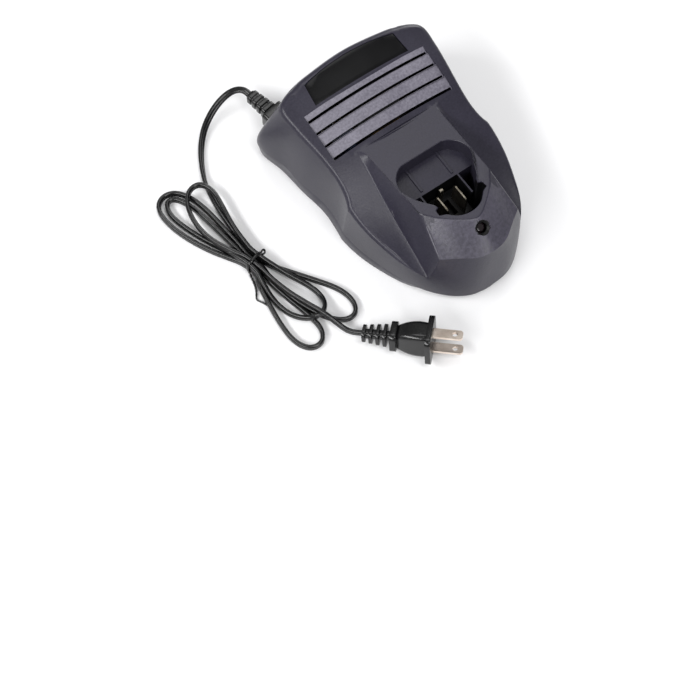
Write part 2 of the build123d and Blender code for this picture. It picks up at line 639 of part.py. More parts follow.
for side in (-1, 1):
    y_in = TR_Y + side * (TR_D / 2 + 0.6)
    y_out = TR_Y + side * WIND_D / 2
    winding = winding + box_between((TR_X - wx, min(y_in, y_out), deck), (TR_X + wx, max(y_in, y_out), wz0 + 3))
leg_half = TR_LEG + 0.1
winding = winding - box_between((TR_X - leg_half, TR_Y - TR_D / 2 - 0.1, 0), (TR_X + leg_half, TR_Y + TR_D / 2 + 0.1, 80))
winding = largest(winding)


def capacitor(x, y, r, h):
    body = rod(x, y, deck, deck + h, r)
    body = body.fillet(0.8, [body.edges().sort_by(Axis.Z)[-1]])
    groove = rod(x, y, deck + 2.0, deck + 3.2, r + 1) - rod(x, y, deck + 2.0, deck + 3.2, r - 0.6)
    return largest(body - groove)


input_capacitor = capacitor(-24.0, 30.0, 8.0, 28.0)
output_capacitor = capacitor(27.0, 0.0, 5.0, 20.0)
rectifier = box_between((-33.0, 8.0, deck), (-19.0, 12.0, deck + 14.0))
rectifier = largest(rectifier.chamfer(1.5, None, rectifier.edges().filter_by(Axis.Y).group_by(Axis.Z)[-1][0:1]))

SINK_X = 29.0
sink = box_between((SINK_X, 16.0, deck), (SINK_X + 3.0, 46.0, deck + 26.0))
for i in range(5):
    y = 17.5 + i * 6.4
    sink = sink + box_between((SINK_X + 2.9, y, deck + 4), (SINK_X + 6.5, y + 1.4, deck + 26.0))
sink = largest(sink)
transistor = box_between((SINK_X - 4.5 - SEAT, 26.0, deck + 5), (SINK_X - SEAT, 36.0, deck + 14.0))
transistor = transistor + box_between((SINK_X - 1.3 - SEAT, 26.0, deck + 14), (SINK_X - SEAT, 36.0, deck + 20.0))
for k in (-2.54, 0.0, 2.54):
    y = 31.0 + k
    transistor = transistor + box_between((SINK_X - 2.6, y - 0.4, deck), (SINK_X - 2.0, y + 0.4, deck + 5.5))
transistor = largest(transistor)

FUSE_Y = 51.0
fuse = Pos(-3.0, FUSE_Y, deck + 4.0) * Rot(0, 90, 0) * Cylinder(2.4, 20)
for side in (-1, 1):
    fuse = fuse + Pos(-3.0 + side * 7.6, FUSE_Y, deck + 4.0) * Rot(0, 90, 0) * Cylinder(2.9, 4.8)
    fuse = fuse + box_between((-3.0 + side * 7.6 - 1.5, FUSE_Y - 2.6, deck), (-3.0 + side * 7.6 + 1.5, FUSE_Y + 2.6, deck + 3.2))
fuse = largest(fuse)

choke = Pos(-22.0, -6.0, deck + 9.0) * Rot(90, 0, 0) * Torus(6.0, 3.0)
choke = choke + box_between((-28.0, -9.0, deck), (-16.0, -3.0, deck + 2.0))
choke = largest(choke)

CONN = (-22.0, 48.0)
connector = box_between((CONN[0] - 5, CONN[1] - 3.5, deck), (CONN[0] + 5, CONN[1] + 3.5, deck + 9.0))
connector = largest(connector.fillet(0.6, connector.edges().filter_by(Axis.Z)))

# ================================================================== strain relief
rw, rh = RELIEF_HOLE[0] - 2 * 0.15, RELIEF_HOLE[1] - 2 * 0.15


def relief_box(w, h, z0, z1, r):
    b = Pos(0, 0, (z0 + z1) / 2) * Box(w, h, z1 - z0)
    return b.fillet(r, b.edges().filter_by(Axis.Z))


flange = relief_plane * relief_box(RELIEF_FLANGE[0], RELIEF_FLANGE[1], -6.0, RELIEF_FLANGE[2], 2.5)
flange = largest(flange - lower_walls(-SEAT) - upper_walls(-SEAT))
relief = flange + relief_plane * relief_box(rw, rh, -5.5, RELIEF_FLANGE[2], 1.0)
relief = relief + relief_plane * relief_box(12.5, 10.5, -8.0, -5.2, 1.5)
relief = relief + relief_plane * relief_box(6.0, 5.6, RELIEF_FLANGE[2] - 1, RELIEF_LENGTH, 1.5)
boot = RELIEF_LENGTH - RELIEF_FLANGE[2]
for i in range(4):
    z0 = RELIEF_FLANGE[2] + 1.6 + i * 4.2
    shrink = 0.5 * i
    relief = relief + relief_plane * relief_box(9.6 - shrink, 8.6 - shrink, z0, z0 + 2.6, 2.0)
relief = largest(relief)
relief_tip = Vector(*RELIEF_POINT) + relief_dir * RELIEF_LENGTH


# ================================================================== cord
def cord_tube(points, d):
    """Tube along straight runs joined by tangent arcs."""
    pts = [Vector(*p) for p in points]
    radii = []
    for a, b, c in zip(pts, pts[1:], pts[2:]):
        turn = (b - a).get_angle(c - b)
        run = min((b - a).length, (c - b).length)
        radii.append(0.45 * run / math.tan(math.radians(turn / 2)))
    print("radii", [round(r, 1) for r in radii])
    path = FilletPolyline(*pts, radius=radii)
    start = pts[0]
    plane = Plane(origin=start, z_dir=(pts[1] - pts[0]))
    tube = sweep(plane * Circle(d / 2), path=path)
    print("tube volume ratio", round(tube.volume / (math.pi * d * d / 4 * path.length), 3), "length", round(path.length, 1))
    return tube


hank_wire = Wire([Spline([Vector(x, y, 0) for x, y in HANK_OUTLINE], periodic=True)])
hank = extrude(Face(hank_wire), amount=HANK_HEIGHT, dir=(0, 0, 1))
hank = largest(hank)
tie_dir = Vector(*TIE_DIR, 0).normalized()
tie_plane = Plane(origin=(*TIE_POINT, 0), x_dir=(tie_dir.Y, -tie_dir.X, 0), z_dir=(0, 0, 1))
ring_w, ring_h = TIE_INNER[0] + 2 * TIE_T, HANK_HEIGHT + 2 * TIE_T
tie_outer = tie_plane * (Pos(0, 0, ring_h / 2) * Box(ring_w + 6, TIE_W, ring_h))
ring = tie_plane * (Pos(0, 0, ring_h / 2) * Box(ring_w, TIE_W, ring_h))
ring = ring - tie_plane * (Pos(0, 0, ring_h / 2) * Box(TIE_INNER[0], TIE_W + 2, HANK_HEIGHT - 0.0))
hank_cut = hank - tie_plane * (Pos(0, 0, TIE_T / 2) * Box(ring_w + 20, TIE_W + 0.1, TIE_T + 0.02))
for side in (-1, 1):
    hank_cut = hank_cut - tie_plane * (Pos(side * (TIE_INNER[0] / 2 + 5), 0, 10) * Box(10, TIE_W + 0.1, 40))
hank = largest(hank_cut)
tie = largest(ring)

mains_cord = cord_tube([tuple(relief_tip), tuple(relief_tip + relief_dir * CORD_EXIT)] + CORD_POINTS, CORD_D)
mains_cord = largest(mains_cord - hank)

# ================================================================== plug
plug_dir = Vector(*PLUG_DIR).normalized()
level = Vector(-plug_dir.Y, plug_dir.X, 0).normalized()
rise = plug_dir.cross(level)
roll = math.radians(PLUG_ROLL)
blade_dir = level * math.cos(roll) + rise * math.sin(roll)


def rounded(w, h, r, z):
    return Pos(0, 0, z) * RectangleRounded(w, h, r)


pw, ph, pt = PLUG_PLATE
plate = extrude(rounded(pw, ph, PLUG_CORNER, -pt), amount=pt)
body = loft([rounded(w, h, min(w, h) * 0.22, z) for w, h, z in PLUG_BODY])
neck_z = PLUG_BODY[-1][2]
cw, ch, ct = PLUG_COLLAR
collar = extrude(rounded(cw, ch, 3.5, neck_z - ct), amount=ct)
rib_w, rib_h, rib_t = PLUG_RIB
rib_end = neck_z - ct - PLUG_RIBS * PLUG_RIB_PITCH
stem = extrude(rounded(PLUG_CORE[0], PLUG_CORE[1], 2.0, rib_end), amount=neck_z - rib_end)
plug_local = plate + body + collar + stem
for i in range(PLUG_RIBS):
    z = rib_end + i * PLUG_RIB_PITCH
    shrink = 0.7 * (PLUG_RIBS - 1 - i)
    plug_local = plug_local + extrude(rounded(rib_w - shrink, rib_h - shrink, 3.0, z), amount=rib_t)
plug_local = largest(plug_local)


def blade_local(side):
    y = side * BLADE_GAP / 2
    blade = box_between((-BLADE_W / 2, y - BLADE_T / 2, -8.0), (BLADE_W / 2, y + BLADE_T / 2, BLADE_L))
    tip = blade.edges().filter_by(Axis.Y).group_by(Axis.Z)[-1]
    blade = blade.chamfer(1.2, None, tip)
    return largest(blade - Pos(0, y, BLADE_L - 4.5) * Rot(90, 0, 0) * Cylinder(1.5, 6))


for side in (-1, 1):
    y = side * BLADE_GAP / 2
    socket = box_between((-BLADE_W / 2 - 0.02, y - BLADE_T / 2 - 0.02, -8.02), (BLADE_W / 2 + 0.02, y + BLADE_T / 2 + 0.02, 1.0))
    plug_local = largest(plug_local - socket)
trial = Plane(origin=(*PLUG_FACE, 0), x_dir=blade_dir, z_dir=plug_dir)
drop = (trial * plug_local).bounding_box().min.Z
plug_plane = Plane(origin=(*PLUG_FACE, -drop), x_dir=blade_dir, z_dir=plug_dir)
plug = plug_plane * plug_local
plug_blades = [plug_plane * blade_local(s) for s in (-1, 1)]
plug_end = Vector(*PLUG_FACE, -drop) + plug_dir * rib_end
print("plug end", [round(c, 1) for c in plug_end], "blade low", [round(b.bounding_box().min.Z, 2) for b in plug_blades])

tail_points = [
    tuple(plug_end),
    tuple(plug_end - plug_dir * 8.0),
    (-91.0, -47.0, 4.0),
]
tail = cord_tube(tail_points, CORD_D)
tail = largest(tail - hank)

# inner lead from the strain relief to the board connector
lead_start = Vector(*RELIEF_POINT) - relief_dir * 8.0
lead = cord_tube([
    tuple(lead_start - relief_dir * 0.02),
    tuple(lead_start - relief_dir * 8.0),
    (-31.0, 54.5, 20.0),
    (CONN[0], CONN[1], deck + 19.0),
    (CONN[0], CONN[1], deck + 9.0 + SEAT),
], 3.2)

# ================================================================== export
NODES = {
    "upper_housing": upper,
    "bottom_cover": cover,
    "rear_label_plate": label_plate,
    "rubber_feet": Compound(children=feet),
    "cover_screws": Compound(children=cover_screws),
    "board_screws": Compound(children=board_screws),
    "circuit_board": board,
    "contact_block": contact_block,
    "contact_blade_left": blades[0],
    "contact_blade_right": blades[1],
    "sense_contact": sense,
    "indicator_lens": lens,
    "indicator_lamp": lamp,
    "lamp_column": column,
    "transformer_core": core,
    "transformer_winding": winding,
    "input_capacitor": input_capacitor,
    "output_capacitor": output_capacitor,
    "rectifier": rectifier,
    "heat_sink": sink,
    "switching_transistor": transistor,
    "fuse": fuse,
    "choke": choke,
    "mains_connector": connector,
    "inner_lead": lead,
    "strain_relief": relief,
    "mains_cord": mains_cord,
    "cord_hank": hank,
    "twist_tie": tie,
    "cord_tail": tail,
    "plug_body": plug,
    "plug_blade_left": plug_blades[0],
    "plug_blade_right": plug_blades[1],
}
for name, shape in NODES.items():
    export_step(shape, f"parts/{name}.step")
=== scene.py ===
"""Blender scene of a battery charger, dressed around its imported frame.

The finishes, the housing, the mains lead with its twist tie, and the studio are each a class.
Sizes are in metres unless a name says mm.
"""

from __future__ import annotations

import logging
import math
from dataclasses import dataclass, field
from enum import Enum, IntEnum
from typing import Callable, Iterable, Sequence

import bmesh
import bpy
from mathutils import Matrix, Vector

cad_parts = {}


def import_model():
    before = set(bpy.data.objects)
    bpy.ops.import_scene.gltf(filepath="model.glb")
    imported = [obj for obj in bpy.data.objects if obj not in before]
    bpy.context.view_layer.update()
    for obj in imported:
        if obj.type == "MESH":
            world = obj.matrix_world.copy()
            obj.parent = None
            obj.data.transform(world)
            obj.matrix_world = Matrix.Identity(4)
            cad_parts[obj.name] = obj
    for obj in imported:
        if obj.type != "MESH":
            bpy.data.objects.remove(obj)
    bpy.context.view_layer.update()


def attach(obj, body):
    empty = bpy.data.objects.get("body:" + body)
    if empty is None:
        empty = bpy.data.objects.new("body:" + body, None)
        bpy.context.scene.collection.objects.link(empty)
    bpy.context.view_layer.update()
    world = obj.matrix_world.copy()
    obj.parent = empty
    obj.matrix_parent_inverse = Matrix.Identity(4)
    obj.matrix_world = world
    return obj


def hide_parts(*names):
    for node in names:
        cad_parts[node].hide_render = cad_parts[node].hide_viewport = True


log = logging.getLogger("charger")

MM = 0.001
BODY = "root"
UP = Vector((0.0, 0.0, 1.0))
SHARP_BEND = 28.0            # degrees; a CAD edge that bends less lies within one curved face
TUBE_BEND = 50.0             # degrees; the same for the cord and the wire, which are thin tubes
MERGE_MM = 0.004             # vertices of the frame's meshes closer than this are one
FLAT_BEND = 0.05             # degrees; faces that bend less are one flat face

Colour = tuple[float, float, float, float]
Point = tuple[float, float, float]
Station = tuple[Vector, Vector, Vector]      # place on the rim, roof direction, wall direction


# ---------------------------------------- shader nodes
def linear(code: str) -> Colour:
    """Turn an sRGB hex colour into Blender's linear colour.

    Args:
        code: Six hex digits with a leading hash.

    Returns:
        Linear red, green, blue and an alpha of one.
    """
    parts = [int(code[i:i + 2], 16) / 255 for i in (1, 3, 5)]
    red, green, blue = [p / 12.92 if p <= 0.04045 else ((p + 0.055) / 1.055) ** 2.4 for p in parts]
    return red, green, blue, 1.0


def add_node(tree: bpy.types.NodeTree, kind: str, values: dict | None = None,
             links: dict | None = None, **settings: object) -> bpy.types.Node:
    """Add one shader node with its settings, socket values and incoming links.

    Args:
        tree: The node tree that gets the node.
        kind: Blender's type name of the node.
        values: Socket name or index to default value.
        links: Socket name or index to the output socket that feeds it.
        **settings: Properties of the node itself.

    Returns:
        The new node.
    """
    made = tree.nodes.new(kind)
    for key, value in settings.items():
        setattr(made, key, value)
    for key, value in (values or {}).items():
        made.inputs[key].default_value = value
    for key, source in (links or {}).items():
        tree.links.new(source, made.inputs[key])
    return made


def blank_material(name: str) -> tuple[bpy.types.Material, bpy.types.NodeTree]:
    """Make a node material with nothing in it.

    Args:
        name: Name of the material.

    Returns:
        The material and its node tree.
    """
    material = bpy.data.materials.new(name)
    material.use_nodes = True
    material.node_tree.nodes.clear()
    return material, material.node_tree


def surface(tree: bpy.types.NodeTree, values: dict, links: dict | None = None) -> None:
    """Close a material with its principled shader and its output.

    Args:
        tree: The node tree of the material.
        values: Socket name to value.
        links: Socket name to the output socket that feeds it.
    """
    shader = add_node(tree, "ShaderNodeBsdfPrincipled", values, links)
    add_node(tree, "ShaderNodeOutputMaterial", links={"Surface": shader.outputs["BSDF"]})


def own_place(tree: bpy.types.NodeTree) -> bpy.types.NodeSocket:
    """Place on the piece in its own coordinates, as an output socket."""
    return add_node(tree, "ShaderNodeTexCoord").outputs["Object"]


def noise(tree: bpy.types.NodeTree, place: bpy.types.NodeSocket, size_mm: float, detail: float,
          roughness: float = 0.5) -> bpy.types.NodeSocket:
    """Add soft noise.

    Args:
        tree: The node tree.
        place: Output socket with the place.
        size_mm: Size of its spots.
        detail: Octaves of finer spots.
        roughness: How strong the finer spots are.

    Returns:
        Output socket with the noise from 0 to 1.
    """
    return add_node(tree, "ShaderNodeTexNoise",
                    {"Scale": 1 / (size_mm * MM), "Detail": detail, "Roughness": roughness},
                    {"Vector": place}).outputs["Fac"]


def two_tones(tree: bpy.types.NodeTree, factor: bpy.types.NodeSocket, dark: str, light: str,
              spread: float) -> bpy.types.NodeSocket:
    """Blend two tones over the middle of a noise.

    Args:
        tree: The node tree.
        factor: Output socket with the noise.
        dark: Hex colour of its low side.
        light: Hex colour of its high side.
        spread: How far from the middle each pure tone starts.

    Returns:
        Output socket with the colour.
    """
    ramp = add_node(tree, "ShaderNodeValToRGB", links={"Fac": factor})
    for element, side, code in zip(ramp.color_ramp.elements, (-1, 1), (dark, light)):
        element.position = 0.5 + side * spread
        element.color = linear(code)
    return ramp.outputs["Color"]


def uneven_gloss(tree: bpy.types.NodeTree, factor: bpy.types.NodeSocket, roughness: float,
                 swing: tuple[float, float], span: tuple[float, float] = (0.0, 1.0)) -> bpy.types.NodeSocket:
    """Let the gloss swing with a noise.

    Args:
        tree: The node tree.
        factor: Output socket with the noise.
        roughness: The roughness it swings about.
        swing: What the low and the high side of the noise add to it.
        span: Values of the noise that count as its low and its high side.

    Returns:
        Output socket with the roughness.
    """
    return add_node(tree, "ShaderNodeMapRange",
                    {"From Min": span[0], "From Max": span[1],
                     "To Min": roughness + swing[0], "To Max": roughness + swing[1]},
                    {"Value": factor}).outputs["Result"]


def relief(tree: bpy.types.NodeTree, height: bpy.types.NodeSocket, strength: float,
           depth_mm: float) -> bpy.types.NodeSocket:
    """Raise a fine relief.

    Args:
        tree: The node tree.
        height: Output socket with the height from 0 to 1.
        strength: Share of the relief that shows.
        depth_mm: Depth of the relief.

    Returns:
        Output socket with the bumped direction of the surface.
    """
    return add_node(tree, "ShaderNodeBump", {"Strength": strength, "Distance": depth_mm * MM},
                    {"Height": height}).outputs["Normal"]


# ---------------------------------------- finishes
class Coat(Enum):
    """How the surface of a plastic left its mould; the value is the strength of its relief."""

    SPARK_ERODED = 0.85
    SATIN = 0.35
    POLISHED = 0.06


@dataclass(frozen=True)
class MouldedPlastic:
    """Injection moulded plastic with the texture of its mould."""

    CLOUD_MM = 34.0
    CLOUD_SHARE = 0.45
    TONE_SPREAD = 0.14
    GLOSS_SWING = (-0.05, 0.07)
    GLOSS_SPAN = (0.3, 0.7)
    IOR = 1.53

    name: str
    colour: str
    shade: str
    coat: Coat = Coat.SATIN
    roughness: float = 0.5
    grain_mm: float = 1.1
    relief_mm: float = 0.05
    specular: float = 0.5

    def material(self) -> bpy.types.Material:
        """Build the finish: grain in the relief, a little mottling in colour and gloss.

        Returns:
            The material.
        """
        material, tree = blank_material(self.name)
        place = own_place(tree)
        grain = noise(tree, place, self.grain_mm, 2.0, 0.55)
        cloud = noise(tree, place, self.CLOUD_MM, 3.0, 0.6)
        both = add_node(tree, "ShaderNodeMix", {0: self.CLOUD_SHARE}, {2: grain, 3: cloud},
                        data_type="FLOAT").outputs[0]
        surface(tree, {"IOR": self.IOR, "Specular IOR Level": self.specular},
                {"Base Color": two_tones(tree, both, self.shade, self.colour, self.TONE_SPREAD),
                 "Roughness": uneven_gloss(tree, both, self.roughness, self.GLOSS_SWING, self.GLOSS_SPAN),
                 "Normal": relief(tree, grain, self.coat.value, self.relief_mm)})
        return material


@dataclass(frozen=True)
class PlatedMetal:
    """Stamped or turned metal with a plated skin and fine drawing marks along one axis."""

    MARK_MM = 0.35
    MARK_STRETCH = (1.0, 1.0, 0.08)
    MARK_STRENGTH = 0.25
    MARK_DEPTH_MM = 0.01
    CLOUD_MM = 6.0
    TONE_SPREAD = 0.15
    GLOSS_SWING = (-0.06, 0.1)

    name: str
    colour: str
    shade: str
    roughness: float = 0.3

    def material(self) -> bpy.types.Material:
        """Build the finish: long fine marks in relief and gloss over a slightly clouded plating.

        Returns:
            The material.
        """
        material, tree = blank_material(self.name)
        place = own_place(tree)
        turned = add_node(tree, "ShaderNodeMapping", {"Scale": self.MARK_STRETCH}, {"Vector": place})
        marks = noise(tree, turned.outputs["Vector"], self.MARK_MM, 3.0)
        cloud = noise(tree, place, self.CLOUD_MM, 2.0)
        surface(tree, {"Metallic": 1.0},
                {"Base Color": two_tones(tree, cloud, self.shade, self.colour, self.TONE_SPREAD),
                 "Roughness": uneven_gloss(tree, marks, self.roughness, self.GLOSS_SWING),
                 "Normal": relief(tree, marks, self.MARK_STRENGTH, self.MARK_DEPTH_MM)})
        return material


@dataclass(frozen=True)
class ClearResin:
    """Clear or tinted resin or glass that lets light through."""

    WAVE_MM = 1.5
    WAVE_STRENGTH = 0.1
    WAVE_DEPTH_MM = 0.02

    name: str
    colour: str
    roughness: float = 0.08
    transmission: float = 0.85
    ior: float = 1.49

    def material(self) -> bpy.types.Material:
        """Build the finish: a see-through body with faint flow waves on its skin.

        Returns:
            The material.
        """
        material, tree = blank_material(self.name)
        waves = noise(tree, own_place(tree), self.WAVE_MM, 1.0)
        surface(tree, {"Base Color": linear(self.colour), "Roughness": self.roughness, "IOR": self.ior,
                       "Transmission Weight": self.transmission},
                {"Normal": relief(tree, waves, self.WAVE_STRENGTH, self.WAVE_DEPTH_MM)})
        return material


Finish = MouldedPlastic | PlatedMetal | ClearResin


class Finishes:
    """Every finish of the charger, named for what it is made of and, where it carries any, for its painted
    light or shade.
    """

    # ABS moulded against a spark eroded cavity: a dull, faintly sparkling blue-grey
    housing = MouldedPlastic("moulded_abs_slate", "#2f2d39", "#272530", Coat.SPARK_ERODED, 0.33,
                             specular=0.32)
    # louvre strips with the coarsest erosion, which shows their grain; their colour is painted far lighter
    # than the walls as painted light, where they catch more light
    strip = MouldedPlastic("coarse_abs_strip_painted_light", "#7c7985", "#5b5864", Coat.SPARK_ERODED, 0.5, 1.3, 0.09)
    # the sloped nose: crinkled grain, a shade lighter than the walls
    nose = MouldedPlastic("crinkled_abs_nose", "#484552", "#35333d", Coat.SPARK_ERODED, 0.36, 1.8, 0.12)
    # smooth plate from a polished cavity: nearly black, with soft reflections
    plate = MouldedPlastic("smooth_abs_plate", "#060608", "#050506", Coat.POLISHED, 0.3, 9.0, 0.004, 0.2)
    # black ABS of the inner block: hardly any gloss; on the upper moulding the same black is painted shade
    # in the louvre slots, the light pipe's dimple and the well under the pocket
    inner = MouldedPlastic("moulded_abs_black_and_painted_shade", "#09090b", "#070708", Coat.SATIN, 0.45, specular=0.2)
    # soft vinyl of the lead, its relief and the plug: deep black with a narrow highlight
    vinyl = MouldedPlastic("extruded_vinyl_black", "#0c0c0d", "#080809", Coat.SATIN, 0.24, 0.9, 0.02)
    # vinyl skin of the twist tie: thin and shinier
    tie = MouldedPlastic("vinyl_tie_black", "#0b0b0c", "#070708", Coat.POLISHED, 0.22, 0.8, 0.02)
    # moulded rubber feet: dull black
    rubber = MouldedPlastic("moulded_rubber", "#222223", "#1a1a1b", Coat.SATIN, 0.75)
    # the board and what is moulded, wound or pressed on it
    laminate = MouldedPlastic("phenolic_laminate", "#9a7440", "#876436", Coat.SATIN, 0.45)
    nylon = MouldedPlastic("moulded_nylon", "#e3e0d6", "#d8d4c8", Coat.SATIN, 0.4)
    tape = MouldedPlastic("polyester_tape", "#7a5c1c", "#6a4e16", Coat.POLISHED, 0.3)
    sleeve = MouldedPlastic("shrink_sleeve", "#2b3550", "#222b44", Coat.POLISHED, 0.28)
    ferrite = MouldedPlastic("sintered_ferrite", "#3a3a3d", "#2d2d30", Coat.SATIN, 0.6, 0.7)
    # nickel plated brass: warm silver on the plug's blades; on the contacts the same plating is painted
    # duller and darker as painted shade down in the pocket
    blade = PlatedMetal("nickel_plated_blade", "#e4d8cc", "#cfc0b2", 0.28)
    contact = PlatedMetal("nickel_plated_contact_painted_shade", "#8d877b", "#6d675c", 0.32)
    steel = PlatedMetal("zinc_plated_steel", "#c9cacd", "#b2b4b8", 0.32)
    # black anodised extrusion, kept black as painted shade: the heat sink stays dark behind the slots
    anodised = PlatedMetal("black_anodised_aluminium_painted_shade", "#1f1f22", "#17171a", 0.4)
    copper = PlatedMetal("enamelled_copper", "#b8743c", "#9c5c2a", 0.3)
    # smoked acrylic light pipe over the lamp, dark when the lamp is off, and the lamp's tinted epoxy
    lens = ClearResin("smoked_acrylic_pipe", "#241c20", 0.1, 0.35)
    lamp = ClearResin("tinted_epoxy", "#8c1d16", 0.15, 0.5, 1.54)
    glass = ClearResin("soda_glass", "#d8dedc", 0.05, 0.8, 1.52)


# finish of each CAD node that shows as it is
NODE_FINISHES: dict[str, Finish] = {
    "rubber_feet": Finishes.rubber, "cover_screws": Finishes.steel, "board_screws": Finishes.steel,
    "contact_block": Finishes.inner, "contact_blade_left": Finishes.contact,
    "contact_blade_right": Finishes.contact, "sense_contact": Finishes.contact,
    "indicator_lens": Finishes.lens, "indicator_lamp": Finishes.lamp, "lamp_column": Finishes.inner,
    "circuit_board": Finishes.laminate, "transformer_core": Finishes.ferrite,
    "transformer_winding": Finishes.tape, "input_capacitor": Finishes.sleeve,
    "output_capacitor": Finishes.sleeve, "rectifier": Finishes.inner, "heat_sink": Finishes.anodised,
    "switching_transistor": Finishes.inner, "fuse": Finishes.glass, "choke": Finishes.copper,
    "mains_connector": Finishes.nylon, "inner_lead": Finishes.vinyl,
    "plug_blade_left": Finishes.blade, "plug_blade_right": Finishes.blade,
}


class Paints:
    """Makes each finish's material once and hands it out again."""

    def __init__(self) -> None:
        """Start with no material made."""
        self._made: dict[str, bpy.types.Material] = {}

    def of(self, finish: Finish) -> bpy.types.Material:
        """Material of a finish.

        Args:
            finish: The finish.

        Returns:
            Its material, made on first use.
        """
        if finish.name not in self._made:
            self._made[finish.name] = finish.material()
        return self._made[finish.name]

    def dress(self, obj: bpy.types.Object, *finishes: Finish) -> None:
        """Give an object its finishes.

        Args:
            obj: The object.
            *finishes: Its finishes, in the order of its material slots.
        """
        obj.data.materials.clear()
        for finish in finishes:
            obj.data.materials.append(self.of(finish))


# ---------------------------------------- mesh helpers
def add_object(name: str, data: bpy.types.ID) -> bpy.types.Object:
    """Add an object to the scene.

    Args:
        name: Its name.
        data: Its mesh, light or camera.

    Returns:
        The new object.
    """
    obj = bpy.data.objects.new(name, data)
    bpy.context.scene.collection.objects.link(obj)
    return obj


def to_mesh(bm: bmesh.types.BMesh, name: str) -> bpy.types.Mesh:
    """Turn a bmesh into a mesh and let go of it.

    Args:
        bm: The bmesh.
        name: Name of the mesh.

    Returns:
        The mesh.
    """
    mesh = bpy.data.meshes.new(name)
    bm.to_mesh(mesh)
    bm.free()
    return mesh


def new_piece(name: str, mesh: bpy.types.Mesh, replaced: Iterable[str]) -> bpy.types.Object:
    """Add a finished mesh as a piece that rides on the charger.

    Args:
        name: Name of the piece.
        mesh: Its mesh, already in place.
        replaced: CAD nodes that the piece stands for.

    Returns:
        The new object.
    """
    obj = add_object(name, mesh)
    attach(obj, BODY)
    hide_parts(*replaced)
    log.info("piece %s: %d faces", name, len(mesh.polygons))
    return obj


def shade(mesh: bpy.types.Mesh, angle: float = 32.0) -> None:
    """Shade a mesh smooth, with sharp edges where it bends by more than an angle.

    Args:
        mesh: The mesh.
        angle: The angle in degrees.
    """
    mesh.shade_smooth()
    mesh.set_sharp_from_angle(angle=math.radians(angle))


def merged_copy(node: str) -> bmesh.types.BMesh:
    """Copy a CAD node's mesh with its doubled vertices and its flat splits merged.

    Args:
        node: Name of the node.

    Returns:
        The merged mesh as a bmesh.
    """
    bm = bmesh.new()
    bm.from_mesh(bpy.data.objects[node].data)
    bmesh.ops.remove_doubles(bm, verts=bm.verts, dist=MERGE_MM * MM)
    bmesh.ops.dissolve_limit(bm, angle_limit=math.radians(FLAT_BEND), verts=bm.verts, edges=bm.edges,
                             use_dissolve_boundaries=False, delimit=set())
    return bm


def is_sharp(edge: bmesh.types.BMEdge) -> bool:
    """Tell whether an edge is a crease of the CAD shape."""
    return len(edge.link_faces) == 2 and edge.calc_face_angle(0.0) > math.radians(SHARP_BEND)


def middle_mm(edge: bmesh.types.BMEdge) -> Vector:
    """Middle of an edge in millimetres."""
    return (edge.verts[0].co + edge.verts[1].co) / (2 * MM)


def soften(bm: bmesh.types.BMesh, width_mm: float, segments: int = 2,
           region: Callable[[bmesh.types.BMEdge], bool] | None = None) -> None:
    """Round the creases of a merged CAD mesh.

    Args:
        bm: The mesh, changed in place.
        width_mm: How far the rounding reaches from the edge.
        segments: Faces across the rounding.
        region: Tells which creases get the full width. Without it all creases are rounded, and
            less where they lie close together.
    """
    creases = [e for e in bm.edges if is_sharp(e) and (region is None or region(e))]
    bmesh.ops.bevel(bm, geom=creases, offset=width_mm * MM, offset_type="OFFSET", segments=segments,
                    profile=0.5, affect="EDGES", clamp_overlap=region is None, material=-1, loop_slide=True)


def softened_piece(name: str, node: str, width_mm: float) -> bpy.types.Object:
    """Replace a CAD node by its own shape with rounded edges.

    Args:
        name: Name of the new piece.
        node: The CAD node.
        width_mm: Width of the rounding.

    Returns:
        The new object.
    """
    bm = merged_copy(node)
    soften(bm, width_mm)
    mesh = to_mesh(bm, name)
    shade(mesh)
    return new_piece(name, mesh, [node])


def skin_rings(bm: bmesh.types.BMesh, rings: Sequence[Sequence[Vector]], closed: bool = False) -> None:
    """Skin a row of rings: one circle is extruded from ring to ring and its ends are closed.

    Args:
        bm: The mesh that gets the body.
        rings: The rings, all with as many points, in order round each ring.
        closed: Whether the last ring meets the first one.
    """
    ring = bmesh.ops.create_circle(bm, segments=len(rings[0]), radius=MM)["verts"]
    first: list[bmesh.types.BMEdge] = []
    edges: list[bmesh.types.BMEdge] = []
    for step, places in enumerate(rings):
        if step:
            made = bmesh.ops.extrude_edge_only(bm, edges=edges)["geom"]
            new = {item for item in made if isinstance(item, bmesh.types.BMVert)}
            ring = [next(e.other_vert(v) for e in v.link_edges if e.other_vert(v) in new) for v in ring]
        for vert, place in zip(ring, places):
            vert.co = place
        edges = [bm.edges.get((ring[i - 1], ring[i])) for i in range(len(ring))]
        first = first or edges
    if closed:
        bmesh.ops.bridge_loops(bm, edges=first + edges)
    else:
        bmesh.ops.edgeloop_fill(bm, edges=first)
        bmesh.ops.edgeloop_fill(bm, edges=edges)
    bmesh.ops.recalc_face_normals(bm, faces=bm.faces)


def smooth_line(points_mm: Sequence[Point], resolution: int = 6) -> list[Vector]:
    """Follow a smooth NURBS line through a soft route.

    Args:
        points_mm: Control points of the route in millimetres.
        resolution: Steps between two control points.

    Returns:
        Points along the line in metres.
    """
    curve = bpy.data.curves.new("route", "CURVE")
    curve.dimensions = "3D"
    spline = curve.splines.new("NURBS")
    spline.points.add(len(points_mm) - 1)
    for point, place in zip(spline.points, points_mm):
        point.co = (place[0] * MM, place[1] * MM, place[2] * MM, 1.0)
    spline.order_u = 3
    spline.use_endpoint_u = True
    spline.resolution_u = resolution
    obj = bpy.data.objects.new("route", curve)
    mesh = bpy.data.meshes.new_from_object(obj)
    line = [v.co.copy() for v in mesh.vertices]
    bpy.data.objects.remove(obj)
    bpy.data.curves.remove(curve)
    bpy.data.meshes.remove(mesh)
    return line


